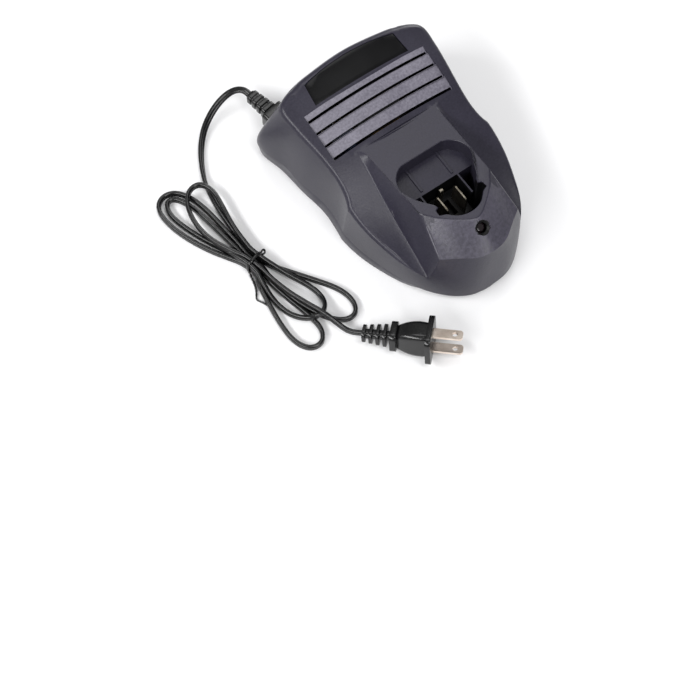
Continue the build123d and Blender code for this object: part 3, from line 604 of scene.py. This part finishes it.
def sweep_rings(line: Sequence[Vector], section: Sequence[tuple[float, float]], upright: Vector,
                turns: Sequence[float], closed: bool = False) -> list[list[Vector]]:
    """Carry a section along a line.

    Args:
        line: Points of the line in metres.
        section: Points of the section, sideways and upwards, in metres.
        upright: The direction that the section's upward side leans to.
        turns: Turn of the section about the line at each point, in degrees.
        closed: Whether the line ends where it starts.

    Returns:
        One ring of points for each point of the line.
    """
    rings = []
    last = len(line) - 1
    for i, place in enumerate(line):
        ahead = line[(i + 1) % len(line)] if closed else line[min(i + 1, last)]
        back = line[i - 1] if closed else line[max(i - 1, 0)]
        along = (ahead - back).normalized()
        side = along.cross(upright).normalized()
        lift = side.cross(along)
        spin = math.radians(turns[i])
        wide = side * math.cos(spin) + lift * math.sin(spin)
        high = lift * math.cos(spin) - side * math.sin(spin)
        rings.append([place + wide * u + high * w for u, w in section])
    return rings


# ---------------------------------------- housing
def roof_height_mm(place: Vector) -> float:
    """Height of the crowned roof over a place, both in millimetres."""
    front_y, front_z, climb, crown_radius = 12.4, 52.2, 0.2126, 300.0
    return front_z + (place.y - front_y) * climb - place.x ** 2 / (2 * crown_radius)


def block_half_mm(y: float) -> float:
    """Half width of the raised pocket block at its foot, both in millimetres."""
    rear_half, rear_y, widening = 29.0, 12.4, 0.062
    return rear_half + (rear_y - y) * widening


@dataclass
class RimRounding:
    """Rolls the rim where the walls of the upper moulding meet its roof and shoulders.

    The tool is the corner that a rolling ball leaves over: it is swept along the rim and cut away.
    The radius is full at the rear, slimmer on the flanks, and runs out at the nose.
    """

    rear_mm: float = 4.5
    flank_mm: float = 3.2
    nose_mm: float = 2.6
    least_mm: float = 0.25
    rear_rise_mm: tuple[float, float] = (20.0, 36.0)     # y where it starts, and its length
    nose_fall_mm: tuple[float, float] = (-10.0, 20.0)
    run_out_mm: tuple[float, float] = (-60.5, 14.0)      # y of its end, and its length
    flank_x_mm: float = 43.2         # beyond it a crease of the roof is the rim
    rear_y_mm: float = 64.2
    shoulder_y_mm: tuple[float, float] = (-61.5, -20.0)  # here the rim lies outside the block
    shoulder_gap_mm: float = 1.8
    roof_rise: float = 0.75          # least upward share of the roof's direction
    wall_rise: tuple[float, float] = (-0.2, 0.6)
    hub_y_mm: float = 5.0            # the rim is walked round this point
    step_mm: float = 2.0
    calm_mm: float = 4.0             # directions are calmed over this much of the rim each way
    calm_tail_mm: float = 0.5        # weight that the furthest of them keep
    segments: int = 8
    proud_mm: float = 0.5
    overlap_mm: float = 0.03

    def _on_rim(self, edge: bmesh.types.BMEdge, top: Vector, wall: Vector) -> bool:
        """Tell whether a crease between two face directions belongs to the rim."""
        mid = middle_mm(edge)
        front, rear = self.shoulder_y_mm
        on_shoulder = front < mid.y < rear and abs(mid.x) > block_half_mm(mid.y) + self.shoulder_gap_mm
        outer = abs(mid.x) > self.flank_x_mm or mid.y > self.rear_y_mm or on_shoulder
        return outer and top.z >= self.roof_rise and self.wall_rise[0] < wall.z < self.wall_rise[1]

    def _stations(self, bm: bmesh.types.BMesh) -> list[Station]:
        """Find the rim in order: its place and the outward directions of roof and wall.

        Args:
            bm: Merged mesh of the upper moulding.

        Returns:
            Place, roof direction and wall direction, from the left of the nose round the rear.
        """
        found: dict[int, list[Vector]] = {}
        for edge in filter(is_sharp, bm.edges):
            top, wall = sorted((face.normal for face in edge.link_faces), key=lambda n: -n.z)
            if not self._on_rim(edge, top, wall):
                continue
            for vert in edge.verts:
                entry = found.setdefault(vert.index, [vert.co.copy(), Vector(), Vector()])
                entry[1] += top * edge.calc_length()
                entry[2] += wall * edge.calc_length()
        hub = self.hub_y_mm * MM
        order = sorted(found.values(), key=lambda e: math.atan2(e[0].x, -(e[0].y - hub)) % math.tau)
        return [(place, roof.normalized(), wall.normalized()) for place, roof, wall in order]

    def _even(self, rim: Sequence[Station]) -> list[Station]:
        """Place stations at even steps along the rim, with calmed directions.

        Args:
            rim: The stations found.

        Returns:
            The even stations.
        """
        run = [0.0]
        for a, b in zip(rim, rim[1:]):
            run.append(run[-1] + (b[0] - a[0]).length)
        steps = int(run[-1] / (self.step_mm * MM))
        reach, full = self.calm_mm * MM, (self.calm_mm + self.calm_tail_mm) * MM
        even = []
        for k in range(steps + 1):
            at = run[-1] * k / steps
            i = max(j for j in range(len(run) - 1) if run[j] <= at + 1e-9)
            share = (at - run[i]) / max(run[i + 1] - run[i], 1e-9)
            near = [(abs(r - at), j) for j, r in enumerate(run) if abs(r - at) < reach] or [(0.0, i)]
            roof = sum((rim[j][1] * (full - gap) for gap, j in near), Vector())
            wall = sum((rim[j][2] * (full - gap) for gap, j in near), Vector())
            even.append((rim[i][0].lerp(rim[i + 1][0], share), roof.normalized(), wall.normalized()))
        return even

    def _radius(self, place: Vector) -> float:
        """Radius of the rim at a place, both in metres."""
        y = place.y / MM
        start, length = self.rear_rise_mm
        if y > start:
            return (self.flank_mm + (self.rear_mm - self.flank_mm) * min((y - start) / length, 1.0)) * MM
        start, length = self.nose_fall_mm
        if y > start:
            return self.flank_mm * MM
        slim = self.flank_mm + (self.nose_mm - self.flank_mm) * min((start - y) / length, 1.0)
        end, length = self.run_out_mm
        return max(slim * min((y - end) / length, 1.0), self.least_mm) * MM

    def _ring(self, place: Vector, roof: Vector, wall: Vector) -> list[Vector]:
        """Outline of the tool at one station.

        Args:
            place: The sharp corner.
            roof: Outward direction of the roof there.
            wall: Outward direction of the wall there.

        Returns:
            The points of the ring.
        """
        radius = self._radius(place)
        centre = place - (roof + wall) * (radius / (1 + roof.dot(wall)))
        arc = [centre + roof.slerp(wall, k / self.segments) * (radius + self.overlap_mm * MM)
               for k in range(self.segments + 1)]
        proud = self.proud_mm * MM
        return arc + [arc[-1] + wall * proud, place + (roof + wall) * proud, arc[0] + roof * proud]

    def cut(self, target: bpy.types.Object, bm: bmesh.types.BMesh) -> None:
        """Cut the rolled rim out of the upper moulding.

        Args:
            target: The piece to cut; its mesh is replaced.
            bm: Merged mesh of the moulding, with its sharp rim.
        """
        bm.verts.index_update()
        rings = [self._ring(*station) for station in self._even(self._stations(bm))]
        tool_bm = bmesh.new()
        skin_rings(tool_bm, rings)
        tool = add_object("rim_tool", to_mesh(tool_bm, "rim_tool"))
        boolean = target.modifiers.new("rim", "BOOLEAN")
        boolean.operation = "DIFFERENCE"
        boolean.solver = "EXACT"
        boolean.use_self = True
        boolean.object = tool
        bpy.context.view_layer.update()
        whole = bpy.data.meshes.new_from_object(target.evaluated_get(bpy.context.evaluated_depsgraph_get()))
        target.modifiers.clear()
        target.data = whole
        bpy.data.objects.remove(tool)
        log.info("rim rolled: %d stations, %d faces", len(rings), len(whole.polygons))


@dataclass(frozen=True)
class PocketBlock:
    """Finds the edges of the raised block round the pocket, which show most."""

    y_mm: tuple[float, float] = (-68.0, 7.0)
    low_mm: float = 24.0
    gap_mm: float = 1.0
    top_rise: float = 0.5            # least upward share of the upper face's direction
    side_rise: float = -0.2          # and of the lower face's
    nose_corner_mm: float = -65.0
    deck_level_mm: float = 51.9
    deck_side_mm: tuple[float, float] = (24.0, 27.0)
    deck_front_mm: float = -41.5
    deck_side_length_mm: float = 40.0
    deck_side_z_mm: float = 51.0

    def has_edge(self, edge: bmesh.types.BMEdge) -> bool:
        """Tell whether an edge belongs to the block, apart from the long sides of its deck."""
        mid = middle_mm(edge)
        across = abs(mid.x)
        rises = [face.normal.z for face in edge.link_faces]
        front, rear = self.y_mm
        if max(rises) <= self.top_rise or min(rises) <= self.side_rise or not front < mid.y < rear:
            return False
        if across >= block_half_mm(mid.y) + self.gap_mm or mid.z <= self.low_mm:
            return False
        inner, outer = self.deck_side_mm
        if across <= inner:
            return mid.z > self.deck_level_mm
        on_deck_side = across < outer and mid.y > self.deck_front_mm
        return mid.y >= self.nose_corner_mm and not on_deck_side

    def has_deck_side(self, edge: bmesh.types.BMEdge) -> bool:
        """Tell whether an edge is a long side of the deck."""
        return edge.calc_length() > self.deck_side_length_mm * MM \
            and edge.verts[0].co.z > self.deck_side_z_mm * MM


class Zone(IntEnum):
    """Zones of the upper moulding, in the order of its material slots."""

    HOUSING = 0
    STRIP = 1
    NOSE = 2
    # black painted as painted shade in the louvre slots, the light pipe's dimple and the well
    PAINTED_SHADE = 3


@dataclass(frozen=True)
class ZoneMap:
    """Tells from its place and direction which zone a face of the upper moulding belongs to."""

    # the louvres: strips of coarse grain, painted lighter as painted light, with a slot behind each lip,
    # painted black as painted shade
    louvre_half_mm: float = 42.3
    louvre_y_mm: tuple[float, float] = (15.0, 45.4)
    louvre_rise: float = 0.85
    louvre_sink_mm: float = 5.0
    slot_fronts_mm: tuple[float, ...] = (40.1, 32.0, 23.5, 15.0)
    slot_reach_mm: tuple[float, float] = (-0.1, 2.3)
    slot_low_mm: float = 44.0
    slot_sink_mm: float = 2.4
    # the dimple round the light pipe, painted black inside as painted shade
    dimple_mm: Point = (0.0, -67.75, 51.83)
    dimple_axis: Point = (0.0, -0.61, 0.79)
    dimple_radius_mm: float = 4.6
    dimple_depth_mm: float = 0.12
    # the well under the pocket, painted black as painted shade
    well_half_mm: float = 19.0
    well_y_mm: tuple[float, float] = (-60.0, -28.0)
    well_z_mm: tuple[float, float] = (13.0, 42.1)
    # the sloped nose in front of the pocket
    nose_half_mm: float = 27.0
    nose_y_mm: float = -50.0
    nose_z_mm: float = 40.0
    nose_lean: float = -0.3
    nose_rise: tuple[float, float] = (0.4, 0.95)

    def zone(self, centre: Vector, normal: Vector) -> Zone:
        """Tell which zone a face belongs to.

        Args:
            centre: Middle of the face in millimetres.
            normal: Its outward direction.

        Returns:
            The zone.
        """
        # slots, dimple and well take the black as painted shade; the strips take a colour painted lighter as
        # painted light
        if self._in_slot(centre):
            return Zone.PAINTED_SHADE
        if self._on_strip(centre, normal):
            return Zone.STRIP
        if self._in_dimple(centre) or self._in_well(centre):
            return Zone.PAINTED_SHADE
        return Zone.NOSE if self._on_nose(centre, normal) else Zone.HOUSING

    def _in_slot(self, centre: Vector) -> bool:
        """Tell whether a place lies inside a louvre's slot."""
        back, reach = self.slot_reach_mm
        return abs(centre.x) < self.louvre_half_mm \
            and self.slot_low_mm < centre.z < roof_height_mm(centre) - self.slot_sink_mm \
            and any(front + back < centre.y < front + reach for front in self.slot_fronts_mm)

    def _on_strip(self, centre: Vector, normal: Vector) -> bool:
        """Tell whether a face is the top of a louvre."""
        front, rear = self.louvre_y_mm
        return abs(centre.x) < self.louvre_half_mm and front < centre.y < rear \
            and normal.z > self.louvre_rise and centre.z > roof_height_mm(centre) - self.louvre_sink_mm

    def _in_dimple(self, centre: Vector) -> bool:
        """Tell whether a place lies in the dimple of the light pipe."""
        away = centre - Vector(self.dimple_mm)
        return away.length < self.dimple_radius_mm \
            and away.dot(Vector(self.dimple_axis)) < -self.dimple_depth_mm

    def _in_well(self, centre: Vector) -> bool:
        """Tell whether a place lies in the well under the pocket."""
        (front, rear), (low, high) = self.well_y_mm, self.well_z_mm
        return abs(centre.x) < self.well_half_mm and front < centre.y < rear and low < centre.z < high

    def _on_nose(self, centre: Vector, normal: Vector) -> bool:
        """Tell whether a face is the sloped nose."""
        low, high = self.nose_rise
        return abs(centre.x) < self.nose_half_mm and centre.y < self.nose_y_mm \
            and centre.z > self.nose_z_mm and normal.y < self.nose_lean and low < normal.z < high


@dataclass
class Housing:
    """The two mouldings of the housing with the rear plate."""

    paints: Paints
    edge_mm: float = 0.3
    block_edge_mm: float = 0.7
    deck_edge_mm: float = 0.3
    cover_edge_mm: float = 0.5
    plate_edge_mm: float = 0.35
    rim: RimRounding = field(default_factory=RimRounding)
    block: PocketBlock = field(default_factory=PocketBlock)
    zones: ZoneMap = field(default_factory=ZoneMap)

    def build(self) -> None:
        """Build both mouldings and the rear plate."""
        self._upper()
        cover = softened_piece("bottom_cover_skin", "bottom_cover", self.cover_edge_mm)
        self.paints.dress(cover, Finishes.housing)
        plate = softened_piece("rear_label_plate_skin", "rear_label_plate", self.plate_edge_mm)
        self.paints.dress(plate, Finishes.plate)

    def _upper(self) -> None:
        """Build the upper moulding: rolled rim, softened edges, its own grain on strips and nose, a lighter
        colour on the strips as painted light and black as painted shade in slots, dimple and well.
        """
        sharp = merged_copy("upper_housing")
        soft = merged_copy("upper_housing")
        soften(soft, self.deck_edge_mm, region=self.block.has_deck_side)
        soften(soft, self.block_edge_mm, 3, self.block.has_edge)
        soften(soft, self.edge_mm)
        piece = new_piece("housing_top", to_mesh(soft, "housing_top"), ["upper_housing"])
        self.rim.cut(piece, sharp)
        sharp.free()
        shade(piece.data)
        # the strips' lighter colour is painted light; the last slot's black is painted shade in slots,
        # dimple and well
        self.paints.dress(piece, Finishes.housing, Finishes.strip, Finishes.nose, Finishes.inner)
        for face in piece.data.polygons:
            face.material_index = self.zones.zone(face.center / MM, face.normal)
        even = piece.modifiers.new("even shading", "WEIGHTED_NORMAL")
        even.keep_sharp = True


# ---------------------------------------- mains lead
LEAD_ROUTE: tuple[Point, ...] = (
    # out of the strain relief, round and down to the floor, and along the charger to the tie
    (-43.7, 91.1, 13.6), (-45.25, 98.9, 13.6), (-46.4, 104.6, 13.6), (-51.2, 108.4, 12.4),
    (-59.6, 108.6, 10.4), (-69.5, 105.6, 7.4), (-79.0, 100.0, 4.4), (-87.6, 90.6, 2.8),
    (-94.6, 78.6, 2.3), (-99.2, 67.0, 2.3), (-101.6, 52.0, 2.3), (-102.2, 36.0, 2.3),
    (-102.0, 22.0, 2.3), (-101.8, 14.2, 2.3), (-98.6, 3.7, 2.3),
    # first turn at the nose end
    (-94.0, -3.2, 2.3), (-83.2, -18.5, 2.3), (-73.0, -33.2, 2.3), (-70.2, -44.6, 2.3),
    (-73.6, -52.4, 2.3), (-81.0, -52.6, 2.3), (-88.0, -46.6, 2.3), (-94.6, -35.0, 2.3),
    (-99.6, -20.0, 2.3), (-102.2, -8.0, 2.3), (-101.2, 2.9, 2.3), (-104.4, 13.5, 2.3),
    # widest turn at the rear end
    (-104.4, 22.0, 2.3), (-106.0, 38.0, 2.3), (-107.6, 54.0, 2.3), (-111.0, 66.5, 2.3),
    (-117.0, 74.6, 2.3), (-125.2, 76.0, 2.3), (-131.4, 70.6, 2.3), (-131.6, 59.0, 2.3),
    (-127.8, 44.8, 2.3), (-120.5, 29.0, 2.3), (-112.0, 16.0, 2.3), (-109.6, 11.9, 2.3),
    (-106.4, 1.4, 2.3),
    # lowest turn at the nose end
    (-109.6, -5.0, 2.3), (-111.6, -17.0, 2.3), (-113.6, -33.0, 2.3), (-113.4, -46.5, 2.3),
    (-108.4, -55.4, 2.3), (-100.4, -56.4, 2.3), (-95.6, -49.5, 2.3), (-96.6, -38.0, 2.3),
    (-100.8, -22.0, 2.3), (-103.6, -8.0, 2.3), (-103.8, 2.1, 2.3), (-107.0, 12.7, 2.3),
    # second turn at the rear end, inside the widest one
    (-107.0, 21.0, 2.3), (-109.4, 37.0, 2.3), (-111.6, 52.0, 2.3), (-114.8, 63.5, 2.3),
    (-119.4, 71.4, 2.3), (-125.0, 71.0, 2.3), (-127.4, 63.0, 2.3), (-124.6, 50.5, 2.3),
    (-119.4, 37.0, 2.3), (-112.6, 22.0, 4.0), (-109.6, 11.9, 6.9), (-106.4, 1.4, 6.9),
    # short turn at the nose end
    (-107.8, -6.0, 5.5), (-108.6, -19.5, 2.6), (-105.6, -32.5, 3.0), (-98.0, -42.0, 6.4),
    (-88.6, -42.0, 6.4), (-83.8, -34.5, 3.0), (-85.4, -23.2, 2.3), (-92.4, -10.8, 4.5),
    (-98.6, 3.7, 6.9), (-101.8, 14.2, 6.9),
    # top turn at the rear end, over the others
    (-102.0, 20.0, 6.9), (-101.9, 34.0, 6.9), (-99.6, 48.0, 6.9), (-98.2, 60.0, 6.9),
    (-102.2, 68.8, 6.9), (-110.6, 68.4, 6.9), (-117.0, 60.2, 6.9), (-119.4, 46.5, 6.9),
    (-117.4, 32.5, 6.9), (-110.6, 18.5, 6.9), (-107.0, 12.7, 6.9), (-103.8, 2.1, 6.9),
    # off to the plug, over the nose end of the hank
    (-102.4, -9.5, 7.4), (-99.4, -22.0, 8.2), (-95.0, -34.5, 9.6), (-90.4, -45.0, 9.8),
    (-87.6, -53.6, 7.4), (-84.9, -60.4, 5.8), (-79.3, -66.0, 6.9), (-75.1, -70.2, 7.7),
)

TIE_EYE: tuple[Point, ...] = (
    (-98.4, 9.2, 6.2), (-98.2, 9.5, 7.6), (-96.9, 9.9, 8.5), (-95.7, 9.9, 7.8), (-95.6, 9.1, 6.6),
    (-96.5, 8.3, 6.1), (-97.8, 8.4, 6.4),
)
TIE_TAIL: tuple[Point, ...] = (
    (-109.4, 5.6, 2.2), (-110.2, 2.6, 1.4), (-110.8, -1.4, 1.0), (-111.8, -4.8, 0.9), (-113.4, -8.0, 0.9),
    (-115.4, -10.8, 0.9),
)
TIE_END: tuple[Point, ...] = (
    (-115.3, -10.6, 0.8), (-115.9, -11.8, 0.8), (-114.6, -13.6, 0.8), (-113.4, -16.2, 0.8),
    (-112.6, -18.4, 0.8),
)


@dataclass
class TwistTie:
    """Coated wire round the hank: a ring, a small eye where it starts, and a twisted tail."""

    paints: Paints
    middle_mm: Point = (-104.1, 7.8, 4.9)
    axis: Point = (0.29, -0.957, 0.0)
    half_mm: tuple[float, float] = (6.1, 5.0)
    ring_steps: int = 40
    squareness: float = 0.72         # power that turns the circle into a rounded square
    wire_mm: float = 1.7
    floor_share: float = 0.62        # least height of the wire's middle, as a share of its thickness
    flatness: tuple[float, float] = (0.8, 1.2)
    wire_steps: int = 10
    eye_scale: float = 0.8
    tail_scale: float = 0.62
    end_scale: float = 0.7
    twist: float = 0.62              # radians from one point of the tail to the next
    twist_radius_mm: float = 0.42
    twist_shape: Point = (1.0, 0.35, 0.5)
    tail_steps: int = 8

    def build(self) -> None:
        """Bend the tie round the bundle."""
        bm = bmesh.new()
        self._wire(bm, self._ring(), Vector(self.axis).normalized(), closed=True)
        self._wire(bm, smooth_line(TIE_EYE), scale=self.eye_scale)
        for start in (0.0, math.pi):
            self._wire(bm, self._strand(start), scale=self.tail_scale)
        self._wire(bm, smooth_line(TIE_END), scale=self.end_scale)
        mesh = to_mesh(bm, "wire_tie")
        shade(mesh, TUBE_BEND)
        piece = new_piece("wire_tie", mesh, ["twist_tie"])
        self.paints.dress(piece, Finishes.tie)

    def _ring(self) -> list[Vector]:
        """Points of the ring, flat where it lies on the floor."""
        axis = Vector(self.axis).normalized()
        across = Vector((-axis.y, axis.x, 0.0))
        floor = self.wire_mm * MM * self.floor_share
        bm = bmesh.new()
        circle = bmesh.ops.create_circle(bm, segments=self.ring_steps, radius=1.0)["verts"]
        places = []
        for vert in circle:
            wide, high = [math.copysign(abs(v) ** self.squareness, v) * half * MM
                          for v, half in zip(vert.co.xy, self.half_mm)]
            place = Vector(self.middle_mm) * MM + across * wide + UP * high
            place.z = max(place.z, floor)
            places.append(place)
        bm.free()
        return places

    def _strand(self, start: float) -> list[Vector]:
        """Points of one strand of the twisted tail.

        Args:
            start: Its turn about the other strand at the ring, in radians.

        Returns:
            The points.
        """
        strand = []
        for i, point in enumerate(smooth_line(TIE_TAIL, self.tail_steps)):
            angle = start + i * self.twist
            x, y, z = self.twist_shape
            swing = Vector((x * math.cos(angle), y * math.cos(angle), z * math.sin(angle)))
            strand.append(point + swing * (self.twist_radius_mm * MM))
        return strand

    def _wire(self, bm: bmesh.types.BMesh, line: Sequence[Vector], upright: Vector = UP, scale: float = 1.0,
              closed: bool = False) -> None:
        """Sweep one run of the coated wire.

        Args:
            bm: Mesh that gets the run.
            line: Points of the run.
            upright: The direction its high side leans to.
            scale: Its size as a share of the full wire.
            closed: Whether the run is a closed loop.
        """
        wide, high = (self.wire_mm * MM * scale / 2 * share for share in self.flatness)
        angles = [math.tau * k / self.wire_steps for k in range(self.wire_steps)]
        section = [(wide * math.cos(a), high * math.sin(a)) for a in angles]
        skin_rings(bm, sweep_rings(line, section, upright, [0.0] * len(line), closed), closed)


@dataclass
class MainsLead:
    """Flat twin lead: strain relief, cord wound in a hank, plug and blades."""

    paints: Paints
    width_mm: float = 4.4
    thickness_mm: float = 2.7
    length_mm: float = 1050.0
    section_steps: int = 20
    upright_mm: tuple[float, float] = (20.0, 90.0)       # lies flat before, stands on edge after
    relief_tip_mm: Point = (-45.25, 98.9, 13.6)
    relief_edge_mm: float = 0.4
    plug_edge_mm: float = 0.45

    def build(self) -> None:
        """Build every piece of the lead."""
        relief_boot = softened_piece("relief_boot", "strain_relief", self.relief_edge_mm)
        plug = softened_piece("plug_shell", "plug_body", self.plug_edge_mm)
        for piece in (relief_boot, plug):
            self.paints.dress(piece, Finishes.vinyl)
        self._cord()

    def _section(self) -> list[tuple[float, float]]:
        """Outline of the flat cord: two cores side by side with a shallow groove between them.

        Returns:
            Points across the width and the thickness, in metres.
        """
        radius = self.thickness_mm / 2
        reach = self.width_mm / 2 - radius
        waist = math.degrees(math.acos(-reach / radius))
        points = []
        for k in range(self.section_steps):
            angle = k * 360.0 / self.section_steps
            lobe = 1 if angle < 90 or angle > 270 else -1
            if angle in (90.0, 270.0):
                points.append((0.0, math.copysign(math.sqrt(radius ** 2 - reach ** 2), 180 - angle)))
                continue
            local = (angle if angle < 90 else angle - 360) if lobe > 0 else angle - 180
            turned = math.radians(local * waist / 90)
            points.append((lobe * (reach + radius * math.cos(turned)), lobe * radius * math.sin(turned)))
        return [(u * MM, w * MM) for u, w in points]

    def _cord(self) -> None:
        line = smooth_line(LEAD_ROUTE)
        flat, upright = self.upright_mm
        run, turns = 0.0, []
        for i, place in enumerate(line):
            run += (place - line[i - 1]).length / MM if i else 0.0
            turns.append(90.0 * min(max((run - flat) / (upright - flat), 0.0), 1.0))
        log.info("cord line: %.0f mm", run)
        bm = bmesh.new()
        skin_rings(bm, sweep_rings(line, self._section(), UP, turns))
        mesh = to_mesh(bm, "lead_cord")
        shade(mesh, TUBE_BEND)
        cord = new_piece("lead_cord", mesh, ["mains_cord", "cord_hank", "cord_tail"])
        self.paints.dress(cord, Finishes.vinyl)


# ---------------------------------------- studio
@dataclass(frozen=True)
class SoftBox:
    """One rectangular light: where it hangs, what it faces, its sides in metres and its watts."""

    name: str
    place: Point
    aim: Point
    sides: tuple[float, float]
    power: float

    def hang(self) -> None:
        """Hang the light."""
        data = bpy.data.lights.new(self.name, "AREA")
        data.shape = "RECTANGLE"
        data.size, data.size_y = self.sides
        data.energy = self.power
        obj = add_object(self.name, data)
        obj.location = self.place
        obj.rotation_mode = "QUATERNION"
        obj.rotation_quaternion = (Vector(self.aim) - Vector(self.place)).to_track_quat("-Z", "Y")


# a long panel on the left, and boxes on the right, over the nose, in front and over the rear
SOFT_BOXES: tuple[SoftBox, ...] = (
    SoftBox("panel", (-0.95, 0.0, 0.88), (0.0, 0.0, 0.03), (1.5, 0.24), 14.5),
    SoftBox("right", (1.10, 0.85, 0.60), (0.0, 0.0, 0.0), (0.6, 0.6), 7.0),
    SoftBox("nose", (-0.03, -0.45, 1.03), (0.0, 0.0, 0.04), (0.34, 0.34), 3.6),
    SoftBox("front", (0.10, -1.05, 0.62), (0.0, 0.0, 0.04), (0.3, 0.3), 2.1),
    SoftBox("rear", (0.20, 0.50, 0.97), (0.0, 0.0, 0.04), (0.55, 0.55), 2.2),
)


@dataclass
class Studio:
    """Pale floor, soft lights and the camera."""

    lens_mm: float = 69.34
    sensor_mm: float = 36.0
    place: Point = (-0.2726, -0.29865, 0.7141)
    right: Point = (0.8135, -0.5813, 0.0208)
    up: Point = (0.5312, 0.757, 0.3806)
    back: Point = (-0.237, -0.2986, 0.9245)
    clip_start: float = 0.01
    floor: str = "#f4f4f5"
    floor_half: float = 3.0
    floor_roughness: float = 0.9
    sky: float = 0.3

    def build(self) -> None:
        """Set up floor, camera and lights."""
        self._floor()
        self._camera()
        for box in SOFT_BOXES:
            box.hang()
        self._sky()
        bpy.context.scene.view_settings.view_transform = "Standard"

    def _floor(self) -> None:
        """Lay a pale floor of a few metres under the charger."""
        bm = bmesh.new()
        bmesh.ops.create_grid(bm, x_segments=1, y_segments=1, size=self.floor_half)
        obj = add_object("floor", to_mesh(bm, "floor"))
        material, tree = blank_material("pale_card")
        surface(tree, {"Base Color": linear(self.floor), "Roughness": self.floor_roughness})
        obj.data.materials.append(material)

    def _camera(self) -> None:
        """Place the camera and make it the scene's."""
        data = bpy.data.cameras.new("camera")
        data.lens = self.lens_mm
        data.sensor_width = self.sensor_mm
        data.clip_start = self.clip_start
        obj = add_object("camera", data)
        axes = Matrix([self.right, self.up, self.back]).transposed()
        obj.matrix_world = Matrix.Translation(self.place) @ axes.to_4x4()
        bpy.context.scene.camera = obj

    def _sky(self) -> None:
        """Set an even white sky."""
        world = bpy.data.worlds.new("sky")
        world.use_nodes = True
        background = world.node_tree.nodes["Background"]
        background.inputs["Color"].default_value = (1.0, 1.0, 1.0, 1.0)
        background.inputs["Strength"].default_value = self.sky
        bpy.context.scene.world = world


def main() -> None:
    """Build the whole scene."""
    logging.basicConfig(level=logging.INFO, format="%(name)s: %(message)s")
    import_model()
    Studio().build()
    paints = Paints()
    Housing(paints).build()
    for node, finish in NODE_FINISHES.items():
        paints.dress(bpy.data.objects[node], finish)
    MainsLead(paints).build()
    TwistTie(paints).build()


if __name__ == "__main__":
    main()
